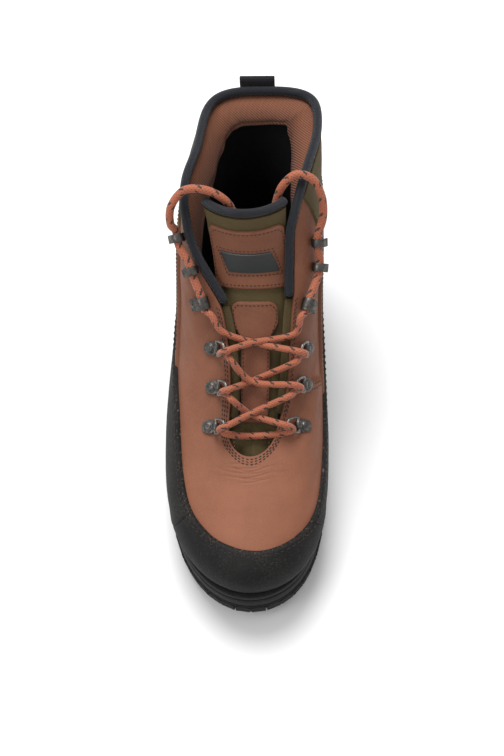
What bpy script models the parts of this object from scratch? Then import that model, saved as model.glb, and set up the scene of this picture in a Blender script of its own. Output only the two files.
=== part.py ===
"""Wading boot, right foot, standing empty on its sole.

Units are metres and +Z is up. The toe points along -Y and the inner (medial) side is +X.
The origin is on the floor, under the middle of the outsole.
Inside this file a place on the boot is written as (side, run, rise): side is +X, run is
measured from the heel's back edge towards the toe, and rise is +Z.
"""

import functools
import math

import bmesh
import bpy
import numpy as np
from mathutils import Vector

# Driving sizes of the boot
OUTSOLE_LENGTH = 0.322
BALL_WIDTH = 0.116
COLLAR_HEIGHT = 0.185
GAP = 0.0003
OVERLAY_GAP = 0.0008

# Sole
HEEL_STACK = 0.038
BALL_STACK = 0.027
TOE_SPRING = 0.013
ARCH_RISE = 0.009
LUG_DEPTH = 0.0055
LUG_WIDTH = 0.0145
LUG_PITCH = 0.0220
LUG_REACH = 0.0005
LUG_INWARD = 0.013
LUG_BITE = 0.0025
CLEAT_LENGTH = 0.018
CLEAT_WIDTH = 0.030
CLEAT_PITCH = 0.0265
OUTSOLE_PLATE = 0.0045
OUTSOLE_INSET = 0.0001

# Walls and soft pieces
LEATHER = 0.0022
RAND_THICKNESS = 0.0024
CAP_THICKNESS = 0.0034
COLLAR_PAD = 0.0095
COLLAR_PAD_EDGE = 0.0035
INSOLE_THICKNESS = 0.004
INSOLE_CLEARANCE = 0.0012
TONGUE_THICKNESS = 0.0055
TONGUE_ARCH = 0.036
PATCH_THICKNESS = 0.0014
BINDING_RADIUS = 0.0031
BINDING_SEAT = 0.0005
ROLL_WIDE = 0.0034
ROLL_THICK = 0.0019
ROLL_SHIFT = 0.0024
TONGUE_BINDING_RADIUS = 0.0028
ANKLE_PANEL = 0.0014
SHAFT_PANEL = 0.0008
PANEL_TOP = 8.05
STEP_ON_TONGUE = 0.022
WEBBING_THICKNESS = 0.0016
WEBBING_WIDTH = 0.024
LOOP_ABOVE_COLLAR = 0.0115
LOOP_BELOW_COLLAR = 0.016
LOOP_GAP = 0.0024
LOOP_OFFSET = 0.0022

# Metalware
PLATE_THICKNESS = 0.0010
PLATE_WIDTH = 0.0090
RIVET_RADIUS = 0.0038
RIVET_HEIGHT = 0.0012
RING_WIRE = 0.0010
RING_WIDTH = 0.0120
RING_REACH = 0.0106
RING_TILT_LATERAL = 24.0
RING_TILT_MEDIAL = 4.0
HOOK_WIDTH = 0.0058
HOOK_THROAT = 0.0074
HOOK_SHEET = 0.0012
HOOK_BEND = 0.0024

# Laces; the free ends' way points are (side, run, rise) in metres
LACE_RADIUS = 0.0028
LACE_STEP = 0.0110
END_STEP = 0.0120
LACE_SHORT = 0.0042
LACE_LIFT = 0.0010
LACE_CLEARANCE = 0.0002
BAR_PLACE = 1.40
CROSSING_PLACES = (1.75, 2.45, 3.25)
LOCK_SHORT = 0.0095
LOCK_INWARD = 0.0040
AGLET_RADIUS = 0.0019
AGLET_LENGTH = 0.022
LATERAL_END = [
    (-0.0490, 0.1080, 0.1700),
    (-0.0480, 0.1030, 0.1840),
    (-0.0390, 0.0960, 0.1925),
    (-0.0240, 0.0960, 0.1925),
    (-0.0110, 0.1000, 0.1850),
    (-0.0060, 0.1040, 0.1700),
    (-0.0040, 0.1130, 0.1500),
]
MEDIAL_END = [
    (0.0530, 0.1000, 0.1660),
    (0.0520, 0.0920, 0.1810),
    (0.0455, 0.0860, 0.1915),
    (0.0355, 0.0845, 0.1940),
    (0.0260, 0.0890, 0.1870),
    (0.0205, 0.0970, 0.1710),
    (0.0170, 0.1090, 0.1510),
]

# Number of facets
AROUND = 28
SOLE_AROUND = 40
TUBE_SIDES = 8

# Places where the half widths below are given, as shares of a ring's run from back to front
WIDTH_AT = np.array([0.0, 0.12, 0.40, 0.66, 0.84, 1.0])

# The outsole's plan: half width on each side as a share of BALL_WIDTH, at WIDTH_AT
SOLE_LATERAL = np.array([0.510, 0.515, 0.440, 0.530, 0.585, 0.640])
SOLE_MEDIAL = np.array([0.510, 0.505, 0.390, 0.495, 0.560, 0.660])
SOLE_LEAN = 0.030

# Heights along the sole: share of run from the heel, share of the way from HEEL_STACK to
# BALL_STACK for the top, share of ARCH_RISE and share of TOE_SPRING for the underside
SOLE_HEIGHTS = np.array(
    [
        # run, top_drop, arch, spring
        [0.00, 0.00, 0.00, 0.16],
        [0.07, 0.04, 0.00, 0.00],
        [0.22, 0.22, 0.00, 0.00],
        [0.30, 0.42, 0.55, 0.00],
        [0.36, 0.58, 1.00, 0.00],
        [0.43, 0.76, 0.55, 0.00],
        [0.49, 0.88, 0.00, 0.00],
        [0.66, 1.00, 0.00, 0.00],
        [0.74, 0.98, 0.00, 0.02],
        [0.84, 0.80, 0.00, 0.22],
        [0.93, 0.38, 0.00, 0.62],
        [1.00, -0.08, 0.00, 1.00],
    ]
)

# Side steps of the midsole, from its underside to its top: share of height, inset in metres
MIDSOLE_STEPS = [
    (0.00, 0.0004),
    (0.50, 0.0002),
    (0.60, 0.0018),
    (0.72, 0.0003),
    (0.93, 0.0006),
    (1.00, 0.0020),
]

# The upper's rings, from the feather edge (0) to the collar (10).
# front and back are runs as shares of OUTSOLE_LENGTH; the rises are shares of COLLAR_HEIGHT;
# drop bends the ring down towards its front; square is 1 for a round ring and less for a
# boxy one; lean_front and lean_back move its ends to the inner side, as shares of
# BALL_WIDTH; feather says how far the ring follows the dip of the sole's top.
RINGS = np.array(
    [
        # front, front_rise, back, back_rise, drop, square, lean_front, lean_back, feather
        [0.974, 0.212, 0.022, 0.207, 1.0, 1.00, 0.030, 0.000, 1.00],
        [0.981, 0.262, 0.012, 0.285, 1.0, 1.00, 0.030, 0.000, 0.90],
        [0.967, 0.315, 0.011, 0.360, 1.0, 1.00, 0.030, 0.005, 0.70],
        [0.922, 0.352, 0.018, 0.430, 1.0, 1.00, 0.030, 0.010, 0.40],
        [0.832, 0.388, 0.029, 0.500, 1.0, 1.00, 0.030, 0.015, 0.12],
        [0.722, 0.436, 0.038, 0.570, 1.0, 0.98, 0.030, 0.020, 0.00],
        [0.622, 0.520, 0.044, 0.650, 1.1, 0.95, 0.070, 0.030, 0.00],
        [0.528, 0.628, 0.044, 0.738, 1.5, 0.92, 0.075, 0.040, 0.00],
        [0.460, 0.715, 0.040, 0.830, 2.4, 0.86, 0.055, 0.055, 0.00],
        [0.414, 0.778, 0.034, 0.918, 4.0, 0.78, 0.025, 0.070, 0.00],
        [0.385, 0.832, 0.027, 1.000, 6.0, 0.70, 0.000, 0.085, 0.00],
    ]
)
TOP_RING = len(RINGS) - 1

# Half widths of the rings on the outer and the inner side, as shares of BALL_WIDTH, at WIDTH_AT
RING_LATERAL = np.array(
    [
        [0.475, 0.475, 0.430, 0.490, 0.560, 0.590],
        [0.490, 0.490, 0.450, 0.505, 0.575, 0.610],
        [0.475, 0.480, 0.450, 0.495, 0.555, 0.580],
        [0.450, 0.455, 0.433, 0.464, 0.505, 0.520],
        [0.430, 0.440, 0.428, 0.432, 0.445, 0.450],
        [0.415, 0.430, 0.428, 0.420, 0.415, 0.410],
        [0.405, 0.420, 0.426, 0.420, 0.420, 0.420],
        [0.400, 0.410, 0.416, 0.425, 0.440, 0.440],
        [0.395, 0.395, 0.393, 0.412, 0.435, 0.440],
        [0.400, 0.385, 0.365, 0.395, 0.410, 0.415],
        [0.405, 0.362, 0.323, 0.366, 0.388, 0.388],
    ]
)
RING_MEDIAL = np.array(
    [
        [0.475, 0.470, 0.410, 0.465, 0.545, 0.640],
        [0.490, 0.485, 0.430, 0.480, 0.560, 0.660],
        [0.475, 0.475, 0.430, 0.475, 0.540, 0.610],
        [0.450, 0.460, 0.430, 0.455, 0.490, 0.530],
        [0.430, 0.445, 0.430, 0.440, 0.460, 0.480],
        [0.415, 0.435, 0.430, 0.430, 0.430, 0.430],
        [0.405, 0.430, 0.430, 0.420, 0.415, 0.410],
        [0.405, 0.425, 0.428, 0.425, 0.415, 0.410],
        [0.420, 0.425, 0.420, 0.415, 0.400, 0.395],
        [0.445, 0.430, 0.410, 0.390, 0.370, 0.360],
        [0.474, 0.430, 0.392, 0.353, 0.328, 0.328],
    ]
)

# The throat's cut: how far round from the front its two edges lie, in degrees
THROAT = np.array(
    [
        # level, outer side, inner side
        [4.90, 0.0, 0.0],
        [4.92, 9.0, 9.0],
        [5.03, 15.5, 16.0],
        [5.20, 18.0, 20.5],
        [5.50, 19.0, 24.5],
        [6.00, 19.5, 27.5],
        [6.60, 20.5, 28.5],
        [7.25, 21.5, 30.5],
        [7.90, 25.0, 35.5],
        [8.40, 36.0, 38.5],
        [8.90, 52.0, 43.5],
        [9.40, 61.0, 49.0],
        [10.0, 66.0, 60.0],
    ]
)
THROAT_BOTTOM = THROAT[0, 0]
CORNER_DROP = 0.22
CORNER_SHARE = 0.10
BINDING_FROM = 7.8

# The rand's top edge: angle round from the front in degrees (inner side positive), level
RAND_TOP = np.array(
    [
        [-180, 4.5],
        [-140, 4.3],
        [-110, 4.05],
        [-85, 3.85],
        [-65, 3.65],
        [-50, 3.13],
        [-42, 2.88],
        [-27, 2.87],
        [-10, 2.97],
        [6, 2.91],
        [18, 2.77],
        [31, 2.48],
        [41, 2.20],
        [52, 2.10],
        [64, 2.35],
        [80, 2.75],
        [110, 3.70],
        [145, 4.25],
        [180, 4.5],
    ]
)
RAND_BOTTOM = 0.14
CAP_ENDS = (50.0, 38.0, 54.0, 40.0)

# Tongue: its outer face's middle line and half width, from its tip to its free end. run is a
# share of OUTSOLE_LENGTH, rise of COLLAR_HEIGHT, side and half_width of BALL_WIDTH.
TONGUE = np.array(
    [
        # run, rise, side, half_width
        [0.748, 0.359, 0.030, 0.130],
        [0.699, 0.397, 0.034, 0.146],
        [0.621, 0.470, 0.052, 0.163],
        [0.534, 0.573, 0.060, 0.180],
        [0.459, 0.681, 0.056, 0.218],
        [0.4015, 0.7936, 0.038, 0.244],
        [0.3735, 0.9076, 0.020, 0.250],
        [0.3585, 1.005, 0.010, 0.262],
    ]
) * np.array([OUTSOLE_LENGTH, COLLAR_HEIGHT, BALL_WIDTH, BALL_WIDTH])
PATCH_SPAN = (4.50, 6.45)
PATCH_HALF = 0.0252
BADGE_SPAN = (4.95, 5.60)
BADGE_SIDES = (-0.0165, 0.0165)
BADGE_SLANT = 0.0025
BADGE_THICKNESS = 0.0006
STRIP_SPAN = (1.60, 4.20)
STRIP_HALF = 0.0098
STRIP_HEAD = 0.0158

# Lace hardware, from the toe end up: (angle in degrees, level) of its rivet on each side
RING_ROWS = [
    ((-34.5, 4.96), (48.5, 4.45)),
    ((-34.5, 5.79), (53.5, 5.15)),
    ((-35.0, 6.56), (53.5, 6.02)),
]
LOCK_ROW = ((-38.0, 7.54), (47.0, 7.20))
HOOK_ROWS = [
    ((-45.8, 8.29), (64.0, 7.60)),
    ((-61.0, 8.80), (68.0, 8.25)),
]


def smooth(knots, values, at):
    """Cubic curve through the rows of values at the knots, read at the places given."""
    knots = np.asarray(knots, float)
    values = np.asarray(values, float)
    at = np.clip(np.asarray(at, float), knots[0], knots[-1])
    slopes = np.gradient(values, knots, axis=0)
    i = np.clip(np.searchsorted(knots, at, side="right") - 1, 0, len(knots) - 2)
    width = knots[i + 1] - knots[i]
    u = (at - knots[i]) / width
    if values.ndim > 1:
        u = u[..., None]
        width = width[..., None]
    return (
        values[i] * (2 * u**3 - 3 * u**2 + 1)
        + slopes[i] * width * (u**3 - 2 * u**2 + u)
        + values[i + 1] * (3 * u**2 - 2 * u**3)
        + slopes[i + 1] * width * (u**3 - u**2)
    )


def place(points):
    """(side, run, rise) rows to world coordinates: the toe points along -Y."""
    points = np.asarray(points, float)
    centre_side, centre_run = plan_centre()
    world = np.empty_like(points)
    world[..., 0] = points[..., 0] - centre_side
    world[..., 1] = centre_run - points[..., 1]
    world[..., 2] = points[..., 2]
    return world


# The sole's plan and heights


def sole_outline(phi, inset=0.0):
    """Plan points (side, run) of the sole's edge. phi is 0 at the toe, pi at the heel, and
    positive phi runs round the inner side."""

    def edge(angle):
        share = (1 + np.cos(angle)) / 2
        weights = smooth(WIDTH_AT, np.eye(len(WIDTH_AT)), share)
        inner = np.sin(angle) > 0
        half = np.where(inner, weights @ SOLE_MEDIAL, weights @ SOLE_LATERAL)
        side = half * np.sin(angle) + SOLE_LEAN * share**4
        return np.stack([side * BALL_WIDTH, share * OUTSOLE_LENGTH], axis=-1)

    step = 1e-3
    along = edge(phi + step) - edge(phi - step)
    along /= np.linalg.norm(along, axis=-1, keepdims=True)
    outward = np.stack([-along[..., 1], along[..., 0]], axis=-1)
    return edge(phi) - outward * np.asarray(inset)[..., None]


def underside(run):
    """Height of the lugs' feet: flat under heel and ball, raised at the arch and toe."""
    heights = smooth(SOLE_HEIGHTS[:, 0], SOLE_HEIGHTS[:, 1:], run / OUTSOLE_LENGTH)
    rise = np.maximum(heights[..., 1], 0) * ARCH_RISE
    rise += np.maximum(heights[..., 2], 0) * TOE_SPRING
    return np.where(rise < GAP, 0.0, rise)


def sole_top(run):
    """Height of the midsole's top, which the upper stands on."""
    drop = smooth(SOLE_HEIGHTS[:, 0], SOLE_HEIGHTS[:, 1], run / OUTSOLE_LENGTH)
    return HEEL_STACK + (BALL_STACK - HEEL_STACK) * drop


# The upper's surface


def boot_wall(phi, level, offset=0.0):
    """Points (side, run, rise) of the upper's outer face, moved out along its normal.

    level runs from 0 at the feather edge to TOP_RING at the collar. phi is 0 at the front,
    pi at the heel, positive round the inner side."""

    def face(angle, ring):
        row = smooth(np.arange(len(RINGS)), RINGS, ring)
        front, front_rise, back, back_rise, drop, square = np.moveaxis(row, -1, 0)[:6]
        lean_front, lean_back, feather = np.moveaxis(row, -1, 0)[6:]
        lateral = smooth(np.arange(len(RINGS)), RING_LATERAL, ring)
        medial = smooth(np.arange(len(RINGS)), RING_MEDIAL, ring)
        sine, cosine = np.sin(angle), np.cos(angle)
        share = (1 + np.sign(cosine) * np.abs(cosine) ** square) / 2
        weights = smooth(WIDTH_AT, np.eye(len(WIDTH_AT)), share)
        halves = np.where((sine > 0)[..., None], medial, lateral)
        half = (weights * halves).sum(-1)
        side = half * np.sign(sine) * np.abs(sine) ** square
        side = side + lean_front * share**4 + lean_back * (1 - share) ** 2
        run = (back + (front - back) * share) * OUTSOLE_LENGTH
        rise = (back_rise + (front_rise - back_rise) * share**drop) * COLLAR_HEIGHT
        ends = RINGS[0, 3] + (RINGS[0, 1] - RINGS[0, 3]) * share
        rise = rise + feather * (sole_top(run) + GAP - ends * COLLAR_HEIGHT)
        return np.stack([side * BALL_WIDTH, run, rise], axis=-1)

    phi, level = np.broadcast_arrays(
        np.asarray(phi, float), np.asarray(level, float)
    )
    points = face(phi, level)
    if np.any(offset):
        step = 2e-3
        low, high = np.maximum(level - step, 0), np.minimum(level + step, TOP_RING)
        across = face(phi + step, level) - face(phi - step, level)
        upward = face(phi, high) - face(phi, low)
        normal = np.cross(upward, across)
        normal /= np.linalg.norm(normal, axis=-1, keepdims=True)
        points = points + normal * np.asarray(offset)[..., None]
    return points


@functools.cache
def plan_centre():
    """Middle of the plan of the outsole and the rand, under which the origin lies."""
    around = np.linspace(-math.pi, math.pi, 721)
    sole = sole_outline(around, -LUG_REACH)
    levels = np.linspace(0.5, 3, 6)[:, None]
    rand = boot_wall(around, levels, OVERLAY_GAP + RAND_THICKNESS)[..., :2].reshape(-1, 2)
    both = np.concatenate([sole, rand])
    return (both.min(0) + both.max(0)) / 2


def throat_edges(level):
    """Angles of the throat's two edges at that level, in radians: (inner, outer side)."""
    outer, inner = np.radians(smooth(THROAT[:, 0], THROAT[:, 1:], level))
    return float(inner), -float(outer)


def open_rows(levels, columns):
    """Angles and levels of rows that run from the throat's inner edge round the heel to its
    outer edge. The topmost rows dip towards both edges, which rounds the collar's corners."""
    share = np.linspace(0, 1, columns)
    near = np.clip(np.minimum(share, 1 - share) / CORNER_SHARE, 0, 1)
    dip = CORNER_DROP * (1 - near) ** 2
    angles, heights = [], []
    for level in levels:
        height = level - max(0.0, level - 8) * dip
        inner = np.array([throat_edges(h)[0] for h in height])
        outer = np.array([throat_edges(h)[1] for h in height])
        angles.append(inner + (outer + 2 * math.pi - inner) * share)
        heights.append(height)
    return np.array(angles), np.array(heights)


# Mesh helpers


def material(name, colour, roughness, metallic=0.0):
    made = bpy.data.materials.get(name) or bpy.data.materials.new(name)
    made.use_nodes = True
    shader = made.node_tree.nodes["Principled BSDF"]
    shader.inputs["Base Color"].default_value = (*colour, 1.0)
    shader.inputs["Roughness"].default_value = roughness
    shader.inputs["Metallic"].default_value = metallic
    return made


LEATHER_FINISH = ("brown_leather", (0.30, 0.13, 0.07), 0.50)
RUBBER_FINISH = ("black_rubber", (0.020, 0.020, 0.021), 0.65)
FOAM_FINISH = ("midsole_foam", (0.024, 0.024, 0.025), 0.55)
FABRIC_FINISH = ("olive_fabric", (0.085, 0.065, 0.030), 0.85)
LINING_FINISH = ("brown_mesh", (0.28, 0.12, 0.06), 0.85)
BINDING_FINISH = ("black_binding", (0.022, 0.023, 0.028), 0.60)
FOOTBED_FINISH = ("footbed", (0.008, 0.008, 0.010), 0.90)
METAL_FINISH = ("aged_metal", (0.20, 0.18, 0.16), 0.38, 1.0)
LACE_FINISH = ("lace_cord", (0.45, 0.14, 0.06), 0.75)


def new_object(name, mesh, finish, smooth_angle=40.0):
    mesh.materials.append(material(*finish))
    mesh.shade_smooth()
    mesh.set_sharp_from_angle(angle=math.radians(smooth_angle))
    made = bpy.data.objects.new(name, mesh)
    bpy.context.scene.collection.objects.link(made)
    return made


def mesh_from(name, points, faces):
    """A closed mesh of world points and faces, its normals made to point outwards."""
    mesh = bpy.data.meshes.new(name)
    mesh.from_pydata([tuple(p) for p in points], [], faces)
    work = bmesh.new()
    work.from_mesh(mesh)
    bmesh.ops.remove_doubles(work, verts=work.verts, dist=1e-6)
    bmesh.ops.dissolve_degenerate(work, dist=1e-6, edges=work.edges)
    bmesh.ops.triangulate(work, faces=work.faces)
    bmesh.ops.recalc_face_normals(work, faces=work.faces)
    work.to_mesh(mesh)
    work.free()
    return mesh


def walled_sheet(name, outer, inner, finish, closed_rows=0):
    """A wall between two grids of the same shape (rows, columns, 3). The first closed_rows
    rows are rings, whose last column is their first; above them the sheet is open."""
    rows, columns = outer.shape[:2]

    def vertex(layer, row, column):
        if row < closed_rows and column == columns - 1:
            column = 0
        return (layer * rows + row) * columns + column

    faces = []
    for row in range(rows - 1):
        for column in range(columns - 1):
            for layer in (0, 1):
                quad = [
                    vertex(layer, row, column),
                    vertex(layer, row, column + 1),
                    vertex(layer, row + 1, column + 1),
                    vertex(layer, row + 1, column),
                ]
                faces.append(quad if layer == 0 else quad[::-1])
        if row >= closed_rows - 1:
            for column in (0, columns - 1):
                faces.append(
                    [
                        vertex(0, row, column),
                        vertex(0, row + 1, column),
                        vertex(1, row + 1, column),
                        vertex(1, row, column),
                    ]
                )
    for row in (0, rows - 1):
        for column in range(columns - 1):
            faces.append(
                [
                    vertex(0, row, column),
                    vertex(0, row, column + 1),
                    vertex(1, row, column + 1),
                    vertex(1, row, column),
                ]
            )
    faces = [sorted(set(f), key=f.index) for f in faces]
    faces = [f for f in faces if len(f) > 2]
    points = place(np.concatenate([outer.reshape(-1, 3), inner.reshape(-1, 3)]))
    return new_object(name, mesh_from(name, points, faces), finish)


def stacked_rings(name, rings, finish):
    """A solid of closed rings one above the other, each ring (n, 3) with its points mirrored
    about the first, so that the two caps are strips from side to side."""
    count = len(rings[0])
    faces = []
    for k in range(len(rings) - 1):
        for j in range(count):
            after = (j + 1) % count
            faces.append(
                [
                    k * count + j,
                    k * count + after,
                    (k + 1) * count + after,
                    (k + 1) * count + j,
                ]
            )
    for base in (0, (len(rings) - 1) * count):
        for j in range(count // 2):
            strip = [j, j + 1, (count - j - 1) % count, (count - j) % count]
            strip = sorted(set(strip), key=strip.index)
            faces.append([base + v for v in strip])
    points = place(np.concatenate(rings))
    return new_object(name, mesh_from(name, points, faces), finish)


def tube(name, points, radius, finish, sides=TUBE_SIDES, cyclic=False):
    """A round cord or wire: a POLY curve with a bevel, through world points."""
    curve = bpy.data.curves.new(name, "CURVE")
    curve.dimensions = "3D"
    curve.bevel_depth = radius
    curve.bevel_resolution = sides // 4
    curve.use_fill_caps = not cyclic
    spline = curve.splines.new("POLY")
    spline.points.add(len(points) - 1)
    spline.points.foreach_set(
        "co", np.column_stack([points, np.ones(len(points))]).ravel()
    )
    spline.use_cyclic_u = cyclic
    spline.use_smooth = True
    curve.materials.append(material(*finish))
    made = bpy.data.objects.new(name, curve)
    bpy.context.scene.collection.objects.link(made)
    return made


def frame_along(path):
    """Unit directions along a path of points."""
    ahead = np.gradient(path, axis=0)
    return ahead / np.linalg.norm(ahead, axis=1, keepdims=True)


def modified(target, other, operation):
    """Applies a Boolean of two objects to the first and removes the second."""
    step = target.modifiers.new(operation.lower(), "BOOLEAN")
    step.operation = operation
    step.object = other
    step.solver = "EXACT"
    step.use_self = True
    scene = bpy.context.evaluated_depsgraph_get()
    mesh = bpy.data.meshes.new_from_object(target.evaluated_get(scene))
    target.modifiers.clear()
    target.data = mesh
    bpy.data.objects.remove(other)
    return target


# Sole


def build_midsole():
    phi = np.linspace(0, 2 * math.pi, SOLE_AROUND, endpoint=False)
    rings = []
    for share, inset in MIDSOLE_STEPS:
        plan = sole_outline(phi, inset)
        run = plan[:, 1]
        low = underside(run) + LUG_DEPTH + OUTSOLE_PLATE + GAP
        high = sole_top(run)
        rings.append(np.column_stack([plan, low + (high - low) * share]))
    return stacked_rings("midsole", rings, FOAM_FINISH)


def lug_prism(corners):
    """Eight corners of a lug from its four plan corners (side, run)."""
    corners = np.asarray(corners)
    foot = underside(corners[:, 1])
    middle = corners.mean(0)
    top = foot + LUG_DEPTH + LUG_BITE
    tapered = middle + (corners - middle) * 0.92
    return np.concatenate(
        [np.column_stack([tapered, foot]), np.column_stack([corners, top])]
    )


def edge_lugs():
    """Lugs along the sole's edge, evenly spaced, with none at the arch."""
    fine = np.linspace(0, 2 * math.pi, 1441)
    plan = sole_outline(fine)
    length = np.concatenate(
        [[0], np.cumsum(np.linalg.norm(np.diff(plan, axis=0), axis=1))]
    )
    count = int(length[-1] / LUG_PITCH)
    prisms = []
    for k in range(count):
        start = (k + 0.5) * length[-1] / count
        ends = start + np.array([-0.5, 0.5]) * LUG_WIDTH
        phi = np.interp(ends, length, fine)
        outer = sole_outline(phi, -LUG_REACH)
        inner = sole_outline(phi, LUG_INWARD)
        run = outer[:, 1].mean() / OUTSOLE_LENGTH
        if 0.25 < run < 0.475:
            continue
        prisms.append(lug_prism([outer[0], outer[1], inner[1], inner[0]]))
    return prisms


def centre_lugs():
    """Slanted cleats down the middle of the forefoot and the heel."""
    prisms = []
    for first, last, across in ((0.10, 0.21, 2), (0.52, 0.90, 2)):
        rows = int((last - first) * OUTSOLE_LENGTH / CLEAT_PITCH) + 1
        for k in range(rows):
            run = first * OUTSOLE_LENGTH + k * CLEAT_PITCH
            phi = math.acos(2 * run / OUTSOLE_LENGTH - 1)
            ends = sole_outline(np.array([phi, -phi]))[:, 0]
            clear = LUG_INWARD + 0.3 * LUG_WIDTH
            room = ends[0] - ends[1] - 2 * clear
            fits = min(across, int(room / CLEAT_WIDTH + 0.25))
            for j in range(fits):
                side = ends[1] + clear + room * (j + 0.5) / fits
                half = 0.5 * min(CLEAT_WIDTH, room / fits) - 0.12 * CLEAT_WIDTH
                slant = 0.18 * CLEAT_LENGTH * (1 if (j + k) % 2 else -1)
                deep = 0.5 * CLEAT_LENGTH
                prisms.append(
                    lug_prism(
                        [
                            [side - half, run - deep + slant],
                            [side + half, run - deep - slant],
                            [side + half, run + deep - slant],
                            [side - half, run + deep + slant],
                        ]
                    )
                )
    return prisms


def build_outsole():
    phi = np.linspace(0, 2 * math.pi, SOLE_AROUND, endpoint=False)
    rings = []
    for rise, inset in (
        (0.0, OUTSOLE_INSET + 0.001),
        (0.35 * OUTSOLE_PLATE, OUTSOLE_INSET),
        (OUTSOLE_PLATE, OUTSOLE_INSET),
    ):
        plan = sole_outline(phi, inset)
        rings.append(
            np.column_stack([plan, underside(plan[:, 1]) + LUG_DEPTH + rise])
        )
    plate = stacked_rings("outsole", rings, RUBBER_FINISH)
    box = [[0, 1, 2, 3], [4, 5, 6, 7], [0, 1, 5, 4], [1, 2, 6, 5], [2, 3, 7, 6], [3, 0, 4, 7]]
    points, faces = [], []
    for prism in edge_lugs() + centre_lugs():
        faces += [[len(points) * 8 + v for v in face] for face in box]
        points.append(place(prism))
    lugs = new_object(
        "lugs", mesh_from("lugs", np.concatenate(points), faces), RUBBER_FINISH
    )
    return modified(plate, lugs, "UNION")


def build_insole():
    phi = np.linspace(0, 2 * math.pi, AROUND, endpoint=False)
    rings = []
    for rise, extra in ((0.0, 0.0), (0.6, 0.0), (1.0, 0.0012)):
        wall = boot_wall(phi, 0.15, -(LEATHER + INSOLE_CLEARANCE + extra))
        height = sole_top(wall[:, 1]) + GAP + rise * INSOLE_THICKNESS
        rings.append(np.column_stack([wall[:, :2], height]))
    return stacked_rings("insole", rings, FOOTBED_FINISH)


# Upper and its overlays


SHELL_LEVELS = np.concatenate([[0, 0.45, 1, 2, 3, 4], THROAT[:, 0]])


def build_upper():
    angles, heights = open_rows(SHELL_LEVELS, AROUND + 1)
    closed = int((SHELL_LEVELS <= THROAT_BOTTOM).sum())
    outer = boot_wall(angles, heights)
    inner = boot_wall(angles, heights, -LEATHER)
    return walled_sheet("upper", outer, inner, LEATHER_FINISH, closed)


def rand_level(angles):
    turned = (np.degrees(angles) + 180) % 360 - 180
    return smooth(RAND_TOP[:, 0], RAND_TOP[:, 1], turned)


def build_rand():
    """The toe cap and the rand that goes on from it round the heel, meeting it at a slant."""
    outer_low, outer_high, inner_low, inner_high = np.radians(CAP_ENDS)
    seam = math.radians(0.5)
    for name, columns, rows, thickness in (
        ("toe_cap", 17, 5, CAP_THICKNESS),
        ("side_rand", 37, 5, RAND_THICKNESS),
    ):
        share = np.linspace(0, 1, rows)[:, None]
        inner_end = inner_low + (inner_high - inner_low) * share
        outer_end = outer_low + (outer_high - outer_low) * share
        across = np.linspace(0, 1, columns)[None, :]
        if name == "toe_cap":
            angles = inner_end - (inner_end + outer_end) * across
        else:
            first, last = inner_end + seam, 2 * math.pi - outer_end - seam
            angles = first + (last - first) * across
        heights = RAND_BOTTOM + (rand_level(angles) - RAND_BOTTOM) * share
        faces = []
        for offset in (OVERLAY_GAP + thickness, OVERLAY_GAP):
            face = boot_wall(angles, heights, offset)
            face[..., 2] = np.maximum(face[..., 2], sole_top(face[..., 1]) + GAP)
            faces.append(face)
        walled_sheet(name, *faces, RUBBER_FINISH)


def build_panels():
    """The leather ankle panel and the fabric above it, both round the back of the shaft."""
    across = np.linspace(0, 1, 21)[None, :]
    share = np.linspace(0, 1, 5)[:, None]
    angles = np.radians(80 - 4 * share + (200 + 8 * share) * across)
    low = rand_level(angles[0]) + 0.25
    heights = low + (PANEL_TOP - low) * share
    walled_sheet(
        "ankle_panel",
        boot_wall(angles, heights, OVERLAY_GAP + ANKLE_PANEL),
        boot_wall(angles, heights, OVERLAY_GAP),
        LEATHER_FINISH,
    )
    across = np.linspace(0, 1, 25)[None, :]
    share = np.linspace(0, 1, 4)[:, None]
    angles = np.radians(77 - 6 * share + (208 + 12 * share) * across)
    heights = PANEL_TOP + 0.06 + (9.70 - PANEL_TOP) * share + 0 * across
    walled_sheet(
        "shaft_panel",
        boot_wall(angles, heights, OVERLAY_GAP + SHAFT_PANEL),
        boot_wall(angles, heights, OVERLAY_GAP),
        FABRIC_FINISH,
    )


def build_lining():
    """The padded collar lining: thin at the rim and the throat, thick lower down."""
    columns = 23
    levels = np.array([8.0, 8.3, 9.0, 9.6, 9.88])
    share = np.linspace(0, 1, columns)
    near = np.clip(np.minimum(share, 1 - share) / 0.16, 0, 1)
    angles, heights = open_rows(levels, columns)
    angles = angles + 0.06 * (1 - 2 * share)
    swell = np.array([0.35, 0.9, 1.0, 0.65, 0.25])[:, None]
    pad = COLLAR_PAD_EDGE + (COLLAR_PAD - COLLAR_PAD_EDGE) * swell * near**0.7
    start = LEATHER + OVERLAY_GAP
    return walled_sheet(
        "collar_lining",
        boot_wall(angles, heights, -start),
        boot_wall(angles, heights, -(start + pad)),
        LINING_FINISH,
    )


def rim_line(extra, offset):
    """Points along the shell's free edge, up the inner throat edge, round the collar and
    down the outer throat edge, moved past the edge by extra within the wall's surface."""
    angles, heights = open_rows(SHELL_LEVELS, AROUND + 1)
    sides = SHELL_LEVELS >= BINDING_FROM
    route = [np.concatenate([g[sides, 0], g[-1, 1:-1], g[sides, -1][::-1]]) for g in (angles, heights)]
    edge = boot_wall(*route, offset)
    normal = (boot_wall(*route, offset + 0.001) - edge) / 0.001
    away = np.cross(frame_along(edge), normal)
    away /= np.linalg.norm(away, axis=1, keepdims=True)
    return edge + away * extra


def evened(path, step):
    """The same path with points at even steps."""
    length = np.concatenate(
        [[0], np.cumsum(np.linalg.norm(np.diff(path, axis=0), axis=1))]
    )
    count = max(2, int(round(length[-1] / step)) + 1)
    at = np.linspace(0, length[-1], count)
    return np.column_stack([np.interp(at, length, path[:, k]) for k in range(3)])


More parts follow.
